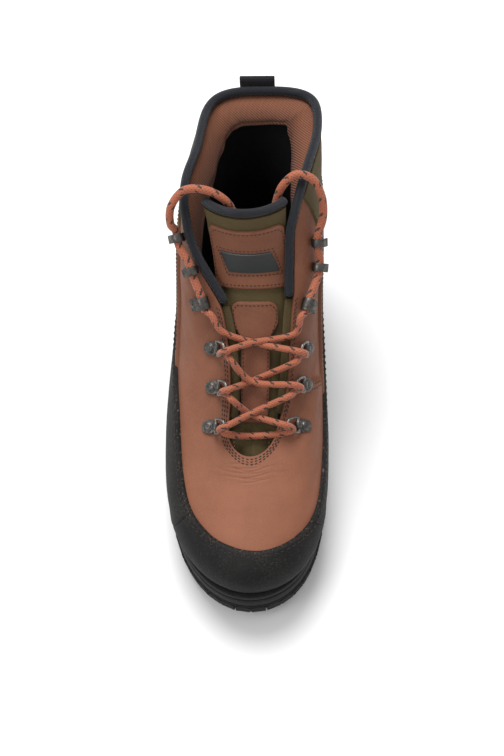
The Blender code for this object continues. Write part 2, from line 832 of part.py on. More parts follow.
def build_collar_binding():
    path = rim_line(BINDING_RADIUS + BINDING_SEAT, -LEATHER / 2)
    tube("collar_binding", place(path), BINDING_RADIUS, BINDING_FINISH, 8)


def oval_sweep(name, path, across, wide, thick, finish, sides=6):
    """A padded roll of oval section along a path; across gives its wide direction."""
    ahead = frame_along(path)
    across = across - ahead * (across * ahead).sum(1, keepdims=True)
    across /= np.linalg.norm(across, axis=1, keepdims=True)
    deep = np.cross(ahead, across)
    turn = np.linspace(0, 2 * math.pi, sides, endpoint=False)
    size = np.minimum(1, 0.45 + 3.0 * np.sin(np.linspace(0, math.pi, len(path))))
    rings = []
    for k in range(len(path)):
        rings.append(
            path[k]
            + size[k] * wide * np.cos(turn)[:, None] * across[k]
            + size[k] * thick * np.sin(turn)[:, None] * deep[k]
        )
    return stacked_rings(name, rings, finish)


def build_throat_rolls():
    levels = np.linspace(5.55, 7.6, 8)
    for name, pick in (("throat_roll_medial", 0), ("throat_roll_lateral", 1)):
        edge = np.array([throat_edges(h)[pick] for h in levels])
        depth = -(LEATHER + ROLL_THICK * math.sin(math.pi / 3) + GAP)
        base = boot_wall(edge, levels, depth)
        inward = boot_wall(edge * 0.9, levels, depth) - base
        inward /= np.linalg.norm(inward, axis=1, keepdims=True)
        path = base + inward * ROLL_SHIFT
        oval_sweep(name, path, inward, ROLL_WIDE, ROLL_THICK, FABRIC_FINISH)


# Tongue


def tongue_face(place_on, across, offset=0.0):
    """Points of the tongue's outer face: place_on is the row of TONGUE (0 to 7) and across
    the distance from its middle line, along its arch."""
    place_on, across = np.broadcast_arrays(
        np.asarray(place_on, float), np.asarray(across, float)
    )
    rows = np.arange(len(TONGUE))
    line = smooth(rows, TONGUE, place_on)
    ahead = smooth(rows, TONGUE, np.minimum(place_on + 0.05, rows[-1]))
    behind = smooth(rows, TONGUE, np.maximum(place_on - 0.05, 0))
    run, rise = ahead[..., 0] - behind[..., 0], ahead[..., 1] - behind[..., 1]
    length = np.hypot(run, rise)
    out_run, out_rise = rise / length, -run / length
    turn = across / TONGUE_ARCH
    side = line[..., 2] + (TONGUE_ARCH + offset) * np.sin(turn)
    drop = TONGUE_ARCH - (TONGUE_ARCH + offset) * np.cos(turn)
    return np.stack(
        [side, line[..., 0] - out_run * drop, line[..., 1] - out_rise * drop], axis=-1
    )


def tongue_width(place_on):
    return smooth(np.arange(len(TONGUE)), TONGUE[:, 3], place_on)


def rounded_span(first, last, half, rows, columns, corner):
    """A grid on the tongue between two places, with its corners rounded."""
    share = (1 - np.cos(np.linspace(0, math.pi, rows))) / 2
    places = first + (last - first) * share
    edge = np.minimum(share, 1 - share) * (last - first) / corner
    narrow = np.sqrt(1 - (1 - np.clip(edge, 0, 1)) ** 2)
    reach = half - corner * STEP_ON_TONGUE * (1 - narrow)
    across = np.linspace(-1, 1, columns)[None, :] * np.reshape(reach, (-1, 1))
    return np.repeat(places[:, None], columns, axis=1), across


def tongue_sheet(name, places, across, start, thickness, finish):
    return walled_sheet(
        name,
        tongue_face(places, across, start + thickness),
        tongue_face(places, across, start),
        finish,
    )


def build_tongue():
    rows = np.linspace(0, 7, 13)[:, None]
    across = np.linspace(-1, 1, 9)[None, :] * tongue_width(rows)
    rows = np.repeat(rows, 9, axis=1)
    walled_sheet(
        "tongue",
        tongue_face(rows, across),
        tongue_face(rows, across, -TONGUE_THICKNESS),
        FABRIC_FINISH,
    )
    places, across = rounded_span(*PATCH_SPAN, PATCH_HALF, 9, 9, 0.25)
    tongue_sheet("tongue_patch", places, across, OVERLAY_GAP, PATCH_THICKNESS, LEATHER_FINISH)
    places = np.repeat(np.linspace(*BADGE_SPAN, 4)[:, None], 6, axis=1)
    slant = np.linspace(BADGE_SLANT, -BADGE_SLANT, 4)[:, None]
    ends = np.linspace(0, 1, 6)[None, :]
    left, right = BADGE_SIDES
    across = left + (right + slant - left) * ends
    start = 2 * OVERLAY_GAP + PATCH_THICKNESS
    tongue_sheet("tongue_badge", places, across, start, BADGE_THICKNESS, RUBBER_FINISH)
    first, last = STRIP_SPAN
    places, across = rounded_span(first, last, STRIP_HALF, 9, 5, 0.2)
    wide = np.clip((places - (last - 0.9)) / 0.45, 0, 1)
    across = across * (1 + (STRIP_HEAD / STRIP_HALF - 1) * wide)
    tongue_sheet("tongue_strip", places, across, OVERLAY_GAP, PATCH_THICKNESS, LEATHER_FINISH)
    build_tongue_binding()


def build_tongue_binding():
    """Along the tongue's free end."""
    depth = -TONGUE_THICKNESS / 2
    across = np.linspace(-1, 1, 9) * tongue_width(7.0)
    top = tongue_face(np.full(9, 7.0), across, depth)
    up = top - tongue_face(np.full(9, 6.9), across, depth)
    up /= np.linalg.norm(up, axis=1, keepdims=True)
    path = top + up * (TONGUE_BINDING_RADIUS + BINDING_SEAT)
    tube("tongue_binding", place(path), TONGUE_BINDING_RADIUS, BINDING_FINISH, 8)


def build_pull_loop():
    """A webbing loop behind the collar: two legs side by side that part above the rim."""
    back = RINGS[TOP_RING, 2] * OUTSOLE_LENGTH
    rim = COLLAR_HEIGHT
    middle_run = back - BINDING_RADIUS - WEBBING_THICKNESS - GAP / 3
    line = np.array(
        [
            [-0.00105, rim - LOOP_BELOW_COLLAR],
            [-0.00105, rim + 0.002],
            [-LOOP_GAP * 0.7, rim + 0.45 * LOOP_ABOVE_COLLAR],
            [-LOOP_GAP * 0.75, rim + 0.8 * LOOP_ABOVE_COLLAR],
            [0.0, rim + LOOP_ABOVE_COLLAR],
            [LOOP_GAP * 0.75, rim + 0.8 * LOOP_ABOVE_COLLAR],
            [LOOP_GAP * 0.6, rim + 0.45 * LOOP_ABOVE_COLLAR],
            [0.00105, rim + 0.002],
            [0.00105, rim - LOOP_BELOW_COLLAR],
        ]
    )
    fine = smooth(np.arange(9), line, np.linspace(0, 8, 17))
    fine[:, 0] += middle_run
    turn = np.gradient(fine, axis=0)
    turn /= np.linalg.norm(turn, axis=1, keepdims=True)
    sideways = np.stack([-turn[:, 1], turn[:, 0]], axis=1) * WEBBING_THICKNESS / 2
    middle = RINGS[TOP_RING, 7] * BALL_WIDTH - LOOP_OFFSET
    outer, inner = [], []
    for side in (middle - WEBBING_WIDTH / 2, middle + WEBBING_WIDTH / 2):
        for rows, sign in ((outer, 1), (inner, -1)):
            flat = fine + sign * sideways
            rows.append(np.column_stack([np.full(len(flat), side), flat]))
    walled_sheet("pull_loop", np.array(outer), np.array(inner), BINDING_FINISH)


# Lace hardware


def seat(angle, level, offset, along=None):
    """A frame on the boot's wall: its origin and its three directions, towards the throat,
    up along the throat and out of the leather."""
    angle = math.radians(angle)
    origin = boot_wall(angle, level)
    out = (boot_wall(angle, level, 0.001) - origin) / 0.001
    toward = boot_wall(angle - math.copysign(0.02, angle), level) - origin
    up = boot_wall(angle, level + 0.05) - boot_wall(angle, level - 0.05)
    if along is not None:
        up = along
    up = up - out * (up @ out)
    up /= np.linalg.norm(up)
    toward -= out * (toward @ out)
    toward -= up * (toward @ up)
    toward /= np.linalg.norm(toward)
    return origin + out * offset, np.stack([toward, up, out])


def prism(outline, low, high, axis):
    """Vertices and faces of a straight prism on a closed outline, along one axis."""
    outline = np.asarray(outline, float)
    count = len(outline)
    points = []
    for end in (low, high):
        points.append(np.insert(outline, axis, end, axis=1))
    faces = [list(range(count)), list(range(count, 2 * count))]
    for j in range(count):
        after = (j + 1) % count
        faces.append([j, after, count + after, count + j])
    return np.concatenate(points), faces


def strip_outline(line, thickness):
    """Outline of a bent strip from its middle line, in its own plane."""
    line = np.asarray(line, float)
    turn = np.gradient(line, axis=0)
    turn /= np.linalg.norm(turn, axis=1, keepdims=True)
    sideways = np.stack([-turn[:, 1], turn[:, 0]], axis=1) * thickness / 2
    return np.concatenate([line + sideways, (line - sideways)[::-1]])


def arc(centre, radius, first, last, count):
    turn = np.radians(np.linspace(first, last, count))
    return np.array(centre) + radius * np.stack([np.cos(turn), np.sin(turn)], axis=1)


def dome(centre, radius, low, height, sides=7):
    """Vertices and faces of a rivet head on the plate."""
    turn = np.linspace(0, 2 * math.pi, sides, endpoint=False)
    circle = np.stack([np.cos(turn), np.sin(turn)], axis=1)
    points, faces = [], []
    for share, rise in ((1.0, low), (0.75, low + height)):
        ring = np.asarray(centre) + circle * radius * share
        points.append(np.column_stack([ring, np.full(sides, rise)]))
    for j in range(sides):
        after = (j + 1) % sides
        faces.append([j, after, sides + after, sides + j])
    faces += [list(range(sides)), list(range(sides, 2 * sides))]
    return np.concatenate(points), faces


def joined_mesh(name, solids):
    """One closed mesh from a few overlapping solids, in their own frame."""
    merged = None
    for k, (points, faces) in enumerate(solids):
        piece = new_object(f"{name}_{k}", mesh_from(f"{name}_{k}", points, faces), METAL_FINISH)
        merged = piece if merged is None else modified(merged, piece, "UNION")
    mesh = merged.data
    points = np.array([v.co[:] for v in mesh.vertices])
    faces = [list(f.vertices) for f in mesh.polygons]
    bpy.data.objects.remove(merged)
    return points, faces


def placed_copy(name, shape, origin, axes):
    points, faces = shape
    world = place(origin + points @ axes)
    return new_object(name, mesh_from(name, world, faces), METAL_FINISH)


BAR_AT = (RIVET_RADIUS + 0.0028, 0.0024)
BARREL = (RING_WIRE + 0.00035, 0.0009)
BARREL_HALF = 0.0026


def ring_plate_shape():
    across, height = BAR_AT
    half = PLATE_WIDTH / 2
    ears = half + 0.0004
    plate = np.concatenate(
        [
            arc((0, 0), half, 90, 270, 5),
            [
                [across - 0.0035, -ears],
                [across - 0.0010, -BARREL_HALF],
                [across - 0.0010, BARREL_HALF],
                [across - 0.0035, ears],
            ],
        ]
    )
    inner, sheet = BARREL
    curl = arc((across, height), inner + sheet / 2, -90, 180, 6)
    start = [[across - 0.0030, height - inner - sheet / 2]]
    barrel = strip_outline(np.concatenate([start, curl]), sheet)
    floor = height - inner - sheet
    return joined_mesh(
        "ring_plate",
        [
            prism(plate, floor, floor + PLATE_THICKNESS, 2),
            prism(barrel, -BARREL_HALF, BARREL_HALF, 1),
            dome((0, 0), RIVET_RADIUS, floor + 0.3 * PLATE_THICKNESS, RIVET_HEIGHT + 0.0007),
        ],
    )


def ring_directions(axes):
    """The reach and lift directions of a D ring, tilted up off the leather by its side's angle."""
    inner_side = axes[2][0] > 0
    tilt = math.radians(RING_TILT_MEDIAL if inner_side else RING_TILT_LATERAL)
    reach = math.cos(tilt) * axes[0] + math.sin(tilt) * axes[2]
    lift = math.cos(tilt) * axes[2] - math.sin(tilt) * axes[0]
    return reach, lift


def ring_line(origin, axes):
    """Centre line of a D ring hanging in its plate's barrel."""
    reach, lift = ring_directions(axes)
    bar = origin + BAR_AT[0] * axes[0] + BAR_AT[1] * axes[2]
    half = RING_WIDTH / 2 - RING_WIRE
    turn = np.linspace(0, math.pi, 7)
    along = half * np.sign(np.cos(turn)) * np.abs(np.cos(turn)) ** 0.75
    out = (RING_REACH - 2 * RING_WIRE) * np.sin(turn) ** 0.8
    return bar + out[:, None] * reach + along[:, None] * axes[1]


def ring_arc_point(origin, axes):
    """The middle of the ring's arc with the ring's reach and lift directions."""
    reach, lift = ring_directions(axes)
    bar = origin + BAR_AT[0] * axes[0] + BAR_AT[1] * axes[2]
    return bar + (RING_REACH - 2 * RING_WIRE) * reach, reach, lift


def hook_shape(plate_back, mouth, width, lip):
    """A lace hook bent from a strip: a base with its rivet, a bend at the throat side and a
    tongue back over the lace."""
    radius = mouth / 2 + HOOK_SHEET / 2
    line = np.concatenate(
        [
            [[-plate_back, 0], [-0.5 * plate_back, 0]],
            arc((HOOK_BEND, radius), radius, -90, 90, 6),
            [[HOOK_BEND - 0.45 * mouth, 2 * radius + lip]],
        ]
    )
    outline = strip_outline(line, HOOK_SHEET) + np.array([0, HOOK_SHEET / 2])
    head = plate_back - RIVET_RADIUS * 0.85
    return joined_mesh(
        "hook",
        [
            prism(outline, -width / 2, width / 2, 1),
            dome((-head, 0), RIVET_RADIUS * 0.8, 0.4 * HOOK_SHEET, RIVET_HEIGHT + 0.0004),
        ],
    )


def hardware_seats():
    """Frames of the D rings and the hooks; a hook stands along the line of its neighbours."""
    rings, hooks = {}, {}
    rows = [LOCK_ROW] + HOOK_ROWS
    for pick, side in enumerate(("lateral", "medial")):
        for row, pair in enumerate(RING_ROWS, 1):
            rings[f"{row}_{side}"] = seat(*pair[pick], OVERLAY_GAP)
        spots = [boot_wall(math.radians(pair[pick][0]), pair[pick][1]) for pair in rows]
        for row, pair in enumerate(rows):
            along = spots[min(row + 1, 2)] - spots[max(row - 1, 0)]
            hooks[f"{row + 4}_{side}"] = seat(*pair[pick], OVERLAY_GAP, along)
    return rings, hooks


def build_hardware(rings, hooks):
    plate = ring_plate_shape()
    for key, (origin, axes) in rings.items():
        placed_copy(f"ring_plate_{key}", plate, origin, axes)
        line = place(ring_line(origin, axes))
        tube(f"d_ring_{key}", line, RING_WIRE, METAL_FINISH, 6, cyclic=True)
    lock = hook_shape(0.0098, HOOK_THROAT, 0.0085, -0.0006)
    hook = hook_shape(0.0070, HOOK_THROAT, HOOK_WIDTH, 0.0005)
    for key, (origin, axes) in hooks.items():
        locking = key.startswith("4")
        name = f"lock_hook_{key}" if locking else f"lace_hook_{key}"
        placed_copy(name, lock if locking else hook, origin, axes)


# Laces


def beside_ring(seat_frame, along):
    """Where a lace stops just short of a ring's arc, moved along the throat by the amount."""
    far, reach, lift = ring_arc_point(*seat_frame)
    return far + reach * LACE_SHORT + lift * LACE_LIFT + seat_frame[1][1] * along


def curve_through(points, step=0.004, tension=0.5):
    """An even path along a smooth curve through way points."""
    points = np.array(points)
    length = np.concatenate(
        [[0], np.cumsum(np.linalg.norm(np.diff(points, axis=0), axis=1) ** tension)]
    )
    fine = smooth(length, points, np.linspace(0, length[-1], 40 * len(points)))
    return evened(fine, step)


def hook_channel(seat_frame, along, inward=0.0):
    """Middle of the lace where it runs up through a hook."""
    origin, axes = seat_frame
    inside = HOOK_BEND + HOOK_THROAT / 2 - LACE_RADIUS - 0.0005
    local = np.array([inside + inward, along, HOOK_SHEET + HOOK_THROAT / 2])
    return origin + local @ axes


def cord_mesh(name, path):
    """A lace strand as a mesh with flat ends, for joining to another."""
    ahead = frame_along(path)
    across = np.cross(ahead, np.array([0.0, 0.5, 1.0]))
    across /= np.linalg.norm(across, axis=1, keepdims=True)
    over = np.cross(across, ahead)
    turn = np.linspace(0, 2 * math.pi, 6, endpoint=False)[:, None]
    rings = [
        point + LACE_RADIUS * (np.cos(turn) * across[k] + np.sin(turn) * over[k])
        for k, point in enumerate(path)
    ]
    return stacked_rings(name, rings, LACE_FINISH)


def build_laces(rings, hooks):
    """The bar and the crossings over the tongue, then the free ends through the hooks."""
    clear = LACE_RADIUS + OVERLAY_GAP + PATCH_THICKNESS + LACE_CLEARANCE
    beside = LACE_RADIUS + GAP
    ends = [beside_ring(rings[f"1_{side}"], -beside) for side in ("lateral", "medial")]
    middle = tongue_face(BAR_PLACE, 0.0, LACE_RADIUS + LACE_CLEARANCE)
    cord_mesh("lace_bar", curve_through([ends[0], middle, ends[1]], LACE_STEP))
    for row, place_on in enumerate(CROSSING_PLACES, 1):
        middle = tongue_face(place_on, 0.0, clear)
        strands = []
        for low, high in (("lateral", "medial"), ("medial", "lateral")):
            start = beside_ring(rings[f"{row}_{low}"], beside)
            if row < 3:
                stop = beside_ring(rings[f"{row + 1}_{high}"], -beside)
            else:
                stop = hook_channel(hooks[f"4_{high}"], -LOCK_SHORT, LOCK_INWARD)
            path = curve_through([start, middle, stop], LACE_STEP)
            strands.append(cord_mesh(f"lace_crossing_{row}", path))
        modified(strands[0], strands[1], "UNION").name = f"lace_crossing_{row}"
    for side, free in (("lateral", LATERAL_END), ("medial", MEDIAL_END)):
        path = []
        for row in (4, 5, 6):
            for along in (-0.9, 0.9):
                path.append(hook_channel(hooks[f"{row}_{side}"], along * HOOK_WIDTH))
        loose = curve_through(path[-1:] + [np.array(p) for p in free], END_STEP)
        path = np.concatenate([path, loose[1:]])
        tube(f"lace_end_{side}", place(path), LACE_RADIUS, LACE_FINISH, 8)
        ahead = frame_along(path)[-1]
        tip = np.array([path[-1] + ahead * d for d in (GAP, AGLET_LENGTH / 2, AGLET_LENGTH)])
        tube(f"aglet_{side}", place(tip), AGLET_RADIUS, METAL_FINISH, 8)


def clear_scene():
    for old in list(bpy.data.objects):
        bpy.data.objects.remove(old)


def build_boot():
    clear_scene()
    build_outsole()
    build_midsole()
    build_insole()
    build_upper()
    build_rand()
    build_panels()
    build_lining()
    build_collar_binding()
    build_throat_rolls()
    build_tongue()
    build_pull_loop()
    rings, hooks = hardware_seats()
    build_hardware(rings, hooks)
    build_laces(rings, hooks)


build_boot()
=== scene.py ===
"""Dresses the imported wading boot: leather, rubber, padded fabric, metalware and lace.

Units are metres and +Z is up. The toe points along -Y and the inner (medial) side is +X.
Shapes are worked out as (side, run, rise): side is +X, run is measured from the heel's
back edge towards the toe, and rise is +Z. place() turns them into world coordinates.
"""

import functools
import math

import bmesh
import bpy
import numpy as np
from bpy.props import FloatProperty, FloatVectorProperty, PointerProperty
from mathutils import Matrix, Vector


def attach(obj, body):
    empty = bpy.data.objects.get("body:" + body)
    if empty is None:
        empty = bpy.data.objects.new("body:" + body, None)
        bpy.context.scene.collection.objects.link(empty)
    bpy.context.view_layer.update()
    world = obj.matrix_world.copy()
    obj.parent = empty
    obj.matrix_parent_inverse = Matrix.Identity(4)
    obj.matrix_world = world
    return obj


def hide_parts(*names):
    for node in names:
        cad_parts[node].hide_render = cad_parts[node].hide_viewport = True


bl_info = {
    "name": "Wading boot",
    "version": (1, 0, 0),
    "blender": (4, 5, 0),
    "location": "3D View > Sidebar > Boot",
    "description": "Dresses the solids of a wading boot with its leather, rubber and lace",
    "category": "Object",
}

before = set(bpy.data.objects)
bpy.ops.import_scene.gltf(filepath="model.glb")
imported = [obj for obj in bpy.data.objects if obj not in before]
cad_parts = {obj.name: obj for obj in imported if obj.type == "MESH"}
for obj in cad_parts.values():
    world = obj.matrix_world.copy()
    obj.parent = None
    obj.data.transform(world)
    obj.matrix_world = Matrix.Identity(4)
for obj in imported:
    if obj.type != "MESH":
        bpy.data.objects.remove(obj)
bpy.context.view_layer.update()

# Driving sizes, as in the solids
OUTSOLE_LENGTH = 0.322
BALL_WIDTH = 0.116
COLLAR_HEIGHT = 0.185
GAP = 0.0003
OVERLAY_GAP = 0.0008
HEEL_STACK = 0.038
BALL_STACK = 0.027
TOE_SPRING = 0.013
ARCH_RISE = 0.009
LUG_DEPTH = 0.0055
LUG_WIDTH = 0.0145
TOE_LUG_WIDTH = 0.0222
LUG_PITCH = 0.0220
LUG_REACH = 0.0005
LUG_INWARD = 0.013
LUG_BITE = 0.0025
CLEAT_LENGTH = 0.018
CLEAT_WIDTH = 0.030
CLEAT_PITCH = 0.0265
OUTSOLE_PLATE = 0.0045
LEATHER = 0.0022
RAND_THICKNESS = 0.0024
CAP_THICKNESS = 0.0034
COLLAR_PAD = 0.0095
COLLAR_PAD_EDGE = 0.0035
COLLAR_SWELL = 0.0060
LINING_LOW = 8.10
LINING_LIFT = 0.98
INSOLE_THICKNESS = 0.004
INSOLE_CLEARANCE = 0.0012
TONGUE_THICKNESS = 0.0055
TONGUE_ARCH = 0.036
PATCH_THICKNESS = 0.0014
BINDING_RADIUS = 0.0031
BINDING_SEAT = 0.0005
ROLL_WIDE = 0.0034
ROLL_THICK = 0.0019
ROLL_SHIFT = 0.0024
TONGUE_BINDING_RADIUS = 0.0028
ANKLE_PANEL = 0.0014
SHAFT_PANEL = 0.0008
PANEL_TOP = 8.05
WEBBING_THICKNESS = 0.0016
WEBBING_WIDTH = 0.024
LOOP_ABOVE_COLLAR = 0.0115
LOOP_BELOW_COLLAR = 0.016
LOOP_GAP = 0.0024
LOOP_OFFSET = 0.0022
PLATE_THICKNESS = 0.0010
PLATE_WIDTH = 0.0090
RIVET_RADIUS = 0.0038
RIVET_CROWN = 0.0014
RING_WIRE = 0.0010
RING_WIDTH = 0.0120
RING_REACH = 0.0106
RING_TILT_LATERAL = 24.0
RING_TILT_MEDIAL = 4.0
HOOK_WIDTH = 0.0058
HOOK_THROAT = 0.0074
HOOK_SHEET = 0.0012
HOOK_BEND = 0.0024
LACE_RADIUS = 0.0028
LACE_CLEARANCE = 0.0002
TAUT_RADIUS = 0.00245
PINCH = 0.24
CROSS_RISE = 0.05
CROSS_SIDE = -0.0018
BAR_SAG = 0.12
SAG_PLACES = {"lateral": (-24.0, 7.15), "medial": (32.0, 6.95)}
SAG_CLEAR = 0.0010
PINCH_REACH = 0.0042
BAR_PLACE = 1.40
CROSSING_PLACES = (1.75, 2.45, 3.25)
LOCK_SHORT = 0.0095
LOCK_INWARD = 0.0040
AGLET_RADIUS = 0.0019
AGLET_LENGTH = 0.022
BAR_AT = (RIVET_RADIUS + 0.0028, 0.0024)
BARREL = (RING_WIRE + 0.00035, 0.0009)
BARREL_HALF = 0.0026

# Way points of the lace's free ends, as in the solids
LATERAL_END = [
    (-0.0490, 0.1080, 0.1700), (-0.0480, 0.1030, 0.1840), (-0.0390, 0.0960, 0.1925),
    (-0.0240, 0.0960, 0.1925), (-0.0110, 0.1000, 0.1850), (-0.0060, 0.1040, 0.1700),
    (-0.0040, 0.1130, 0.1500),
]
MEDIAL_END = [
    (0.0530, 0.1000, 0.1660), (0.0520, 0.0920, 0.1810), (0.0455, 0.0860, 0.1915),
    (0.0355, 0.0845, 0.1940), (0.0260, 0.0890, 0.1870), (0.0205, 0.0970, 0.1710),
    (0.0170, 0.1090, 0.1510),
]

# Ribs of the collar's lining: the slanting planes that they follow, and their spacing
RIB_DIRECTION = (0.8, 0.8, 0.35)
KNIT_DIRECTION = (0.5, -0.4, 0.9)
RIB_PITCH = 0.0017

# Braid of the lace: its pitch and strands each way, then its pairs of dark dashes. A dash has
# its middle at a share of the pairs' pitch and a share of a third of the way round.
BRAID_PITCH = 0.0024
BRAID_STRANDS = 6
DASH_PITCH = 0.0115
DASHES = ((0.22, 0.30), (0.36, 0.60))
DASH_SLANT = 0.9
DASH_REACH = 0.115
DASH_HALF = 0.15

# Stitches of each seam: pitch, length and radius
LEATHER_STITCH = (0.0030, 0.0022, 0.00036)
PANEL_STITCH = (0.0030, 0.0022, 0.00034)
RAND_STITCH = (0.0046, 0.0026, 0.00042)
BINDING_STITCH = (0.0034, 0.0024, 0.00034)
TONGUE_STITCH = (0.0028, 0.0020, 0.00032)
TACK_STITCH = (0.0024, 0.0018, 0.00042)

# Way points of a lace through a D ring: along the ring's reach, up the throat, off the ring
RING_TURN = [
    [0.0050, -0.0068, -0.0008], [-0.0002, -0.0048, -0.0024], [-0.0036, -0.0032, 0.0004],
    [0.0000, -0.0018, 0.0034], [0.0056, -0.0004, 0.0028],
]

# Hooks: how far the sheet runs back from its bend, its width, and the rise of its lip
LOCK_SHAPE = (0.0098, 0.0085, -0.0006)
HOOK_SHAPE = (0.0070, HOOK_WIDTH, 0.0005)

# Panels round the shaft: degrees where a panel starts, lean of that edge, sweep, how much
# wider it is at its top, and its thickness
ANKLE_SPAN = (80, 4, 200, 8, ANKLE_PANEL)
SHAFT_SPAN = (77, 6, 208, 12, SHAFT_PANEL)
SHAFT_TOP = 9.97

# Size of the cloth's pattern for one radian round the wall and for one level up it
PATTERN_STEP = (0.048, 0.0185)

# Slow unevenness of the leather, the rubber and the panels
UPPER_SLACK = 0.0003
RAND_SLACK = 0.00018
PANEL_SLACK = 0.00025
RIPPLE_WAVES = 7
RIPPLE_PACE = (1.0, 6.0)

# Fineness of the surfaces
NORMAL_STEP = 0.001
SOLE_AROUND = 240
SHELL_COLUMNS = 189
CORD_SIDES = 16
CORD_STEP = 0.0011
WIRE_SIDES = 12
RIVET_SIDES = 28
SHEET_ROUNDING = 0.0004

WIDTH_AT = np.array([0.0, 0.12, 0.40, 0.66, 0.84, 1.0])
SOLE_LATERAL = np.array([0.510, 0.515, 0.440, 0.530, 0.585, 0.640])
SOLE_MEDIAL = np.array([0.510, 0.505, 0.390, 0.495, 0.560, 0.660])
SOLE_LEAN = 0.030

# Heights along the sole: run, drop of the top, arch and toe spring of the underside
SOLE_HEIGHTS = np.array(
    [
        [0.00, 0.00, 0.00, 0.16], [0.07, 0.04, 0.00, 0.00], [0.22, 0.22, 0.00, 0.00],
        [0.30, 0.42, 0.55, 0.00], [0.36, 0.58, 1.00, 0.00], [0.43, 0.76, 0.55, 0.00],
        [0.49, 0.88, 0.00, 0.00], [0.66, 1.00, 0.00, 0.00], [0.74, 0.98, 0.00, 0.02],
        [0.84, 0.80, 0.00, 0.22], [0.93, 0.38, 0.00, 0.62], [1.00, -0.08, 0.00, 1.00],
    ]
)

# Side profile of the midsole from its underside up: share of height, inset. A groove runs
# under a bead, and the top edge turns in below the rand.
MIDSOLE_PROFILE = [
    (0.00, 0.0012), (0.03, 0.0005), (0.09, 0.0003), (0.30, 0.0003), (0.46, 0.0003), (0.52, 0.0008),
    (0.56, 0.0018), (0.61, 0.0021), (0.65, 0.0014), (0.69, 0.0004), (0.76, 0.0002), (0.86, 0.0003),
    (0.92, 0.0008), (0.96, 0.0019), (1.00, 0.0034),
]

# Profiles of the outsole's plate (share of height, inset) and of the insole from under its
# middle to over it (share of height, share of the way from its middle line to its edge)
OUTSOLE_PROFILE = ((0.0, 0.0012), (0.12, 0.0005), (0.3, 0.0001), (0.85, 0.0001), (1.0, 0.0004))
INSOLE_PROFILE = (
    (0, 0), (0, 0.5), (0, 1), (0.6, 1), (0.9, 0.985), (1, 0.95), (0.94, 0.7), (0.9, 0.3), (0.9, 0)
)

# Swell of the lining's pad from its inner edge to the rim: share of the way, share of swell
LINING_SWELL = ((0, 0.30), (0.08, 0.80), (0.34, 1.0), (0.74, 0.62), (1, 0.05))

# Rings of the upper: front, front rise, back, back rise, drop, square, leans and feather
RINGS = np.array(
    [
        [0.974, 0.212, 0.022, 0.207, 1.0, 1.00, 0.030, 0.000, 1.00],
        [0.981, 0.262, 0.012, 0.285, 1.0, 1.00, 0.030, 0.000, 0.90],
        [0.967, 0.315, 0.011, 0.360, 1.0, 1.00, 0.030, 0.005, 0.70],
        [0.922, 0.352, 0.018, 0.430, 1.0, 1.00, 0.030, 0.010, 0.40],
        [0.832, 0.388, 0.029, 0.500, 1.0, 1.00, 0.030, 0.015, 0.12],
        [0.722, 0.436, 0.038, 0.570, 1.0, 0.98, 0.030, 0.020, 0.00],
        [0.622, 0.520, 0.044, 0.650, 1.1, 0.95, 0.070, 0.030, 0.00],
        [0.528, 0.628, 0.044, 0.738, 1.5, 0.92, 0.075, 0.040, 0.00],
        [0.460, 0.715, 0.040, 0.830, 2.4, 0.86, 0.055, 0.055, 0.00],
        [0.414, 0.778, 0.034, 0.918, 4.0, 0.78, 0.025, 0.070, 0.00],
        [0.385, 0.832, 0.027, 1.000, 6.0, 0.70, 0.000, 0.085, 0.00],
    ]
)
TOP_RING = len(RINGS) - 1
RING_LATERAL = np.array(
    [
        [0.475, 0.475, 0.430, 0.490, 0.560, 0.590],
        [0.490, 0.490, 0.450, 0.505, 0.575, 0.610],
        [0.475, 0.480, 0.450, 0.495, 0.555, 0.580],
        [0.450, 0.455, 0.433, 0.464, 0.505, 0.520],
        [0.430, 0.440, 0.428, 0.432, 0.445, 0.450],
        [0.415, 0.430, 0.428, 0.420, 0.415, 0.410],
        [0.405, 0.420, 0.426, 0.420, 0.420, 0.420],
        [0.400, 0.410, 0.416, 0.425, 0.440, 0.440],
        [0.395, 0.395, 0.393, 0.412, 0.435, 0.440],
        [0.400, 0.385, 0.365, 0.395, 0.410, 0.415],
        [0.405, 0.362, 0.323, 0.366, 0.388, 0.388],
    ]
)
RING_MEDIAL = np.array(
    [
        [0.475, 0.470, 0.410, 0.465, 0.545, 0.640],
        [0.490, 0.485, 0.430, 0.480, 0.560, 0.660],
        [0.475, 0.475, 0.430, 0.475, 0.540, 0.610],
        [0.450, 0.460, 0.430, 0.455, 0.490, 0.530],
        [0.430, 0.445, 0.430, 0.440, 0.460, 0.480],
        [0.415, 0.435, 0.430, 0.430, 0.430, 0.430],
        [0.405, 0.430, 0.430, 0.420, 0.415, 0.410],
        [0.405, 0.425, 0.428, 0.425, 0.415, 0.410],
        [0.420, 0.425, 0.420, 0.415, 0.400, 0.395],
        [0.445, 0.430, 0.410, 0.390, 0.370, 0.360],
        [0.474, 0.430, 0.392, 0.353, 0.328, 0.328],
    ]
)

# The throat's cut: level, degrees round from the front on the outer and the inner side. It
# starts at its bottom and is rounded over the levels below the first row.
THROAT = np.array(
    [
        [5.20, 18.0, 20.5], [5.50, 19.0, 24.5], [6.00, 19.5, 27.5], [6.60, 20.5, 28.5],
        [7.25, 21.5, 30.5], [7.90, 25.0, 35.5], [8.40, 36.0, 38.5], [8.90, 52.0, 43.5],
        [9.40, 61.0, 49.0], [10.0, 66.0, 60.0],
    ]
)
THROAT_BOTTOM = 4.90
THROAT_ROUND = 0.30
CORNER_DROP = 0.22
CORNER_SHARE = 0.10
BINDING_FROM = 7.8

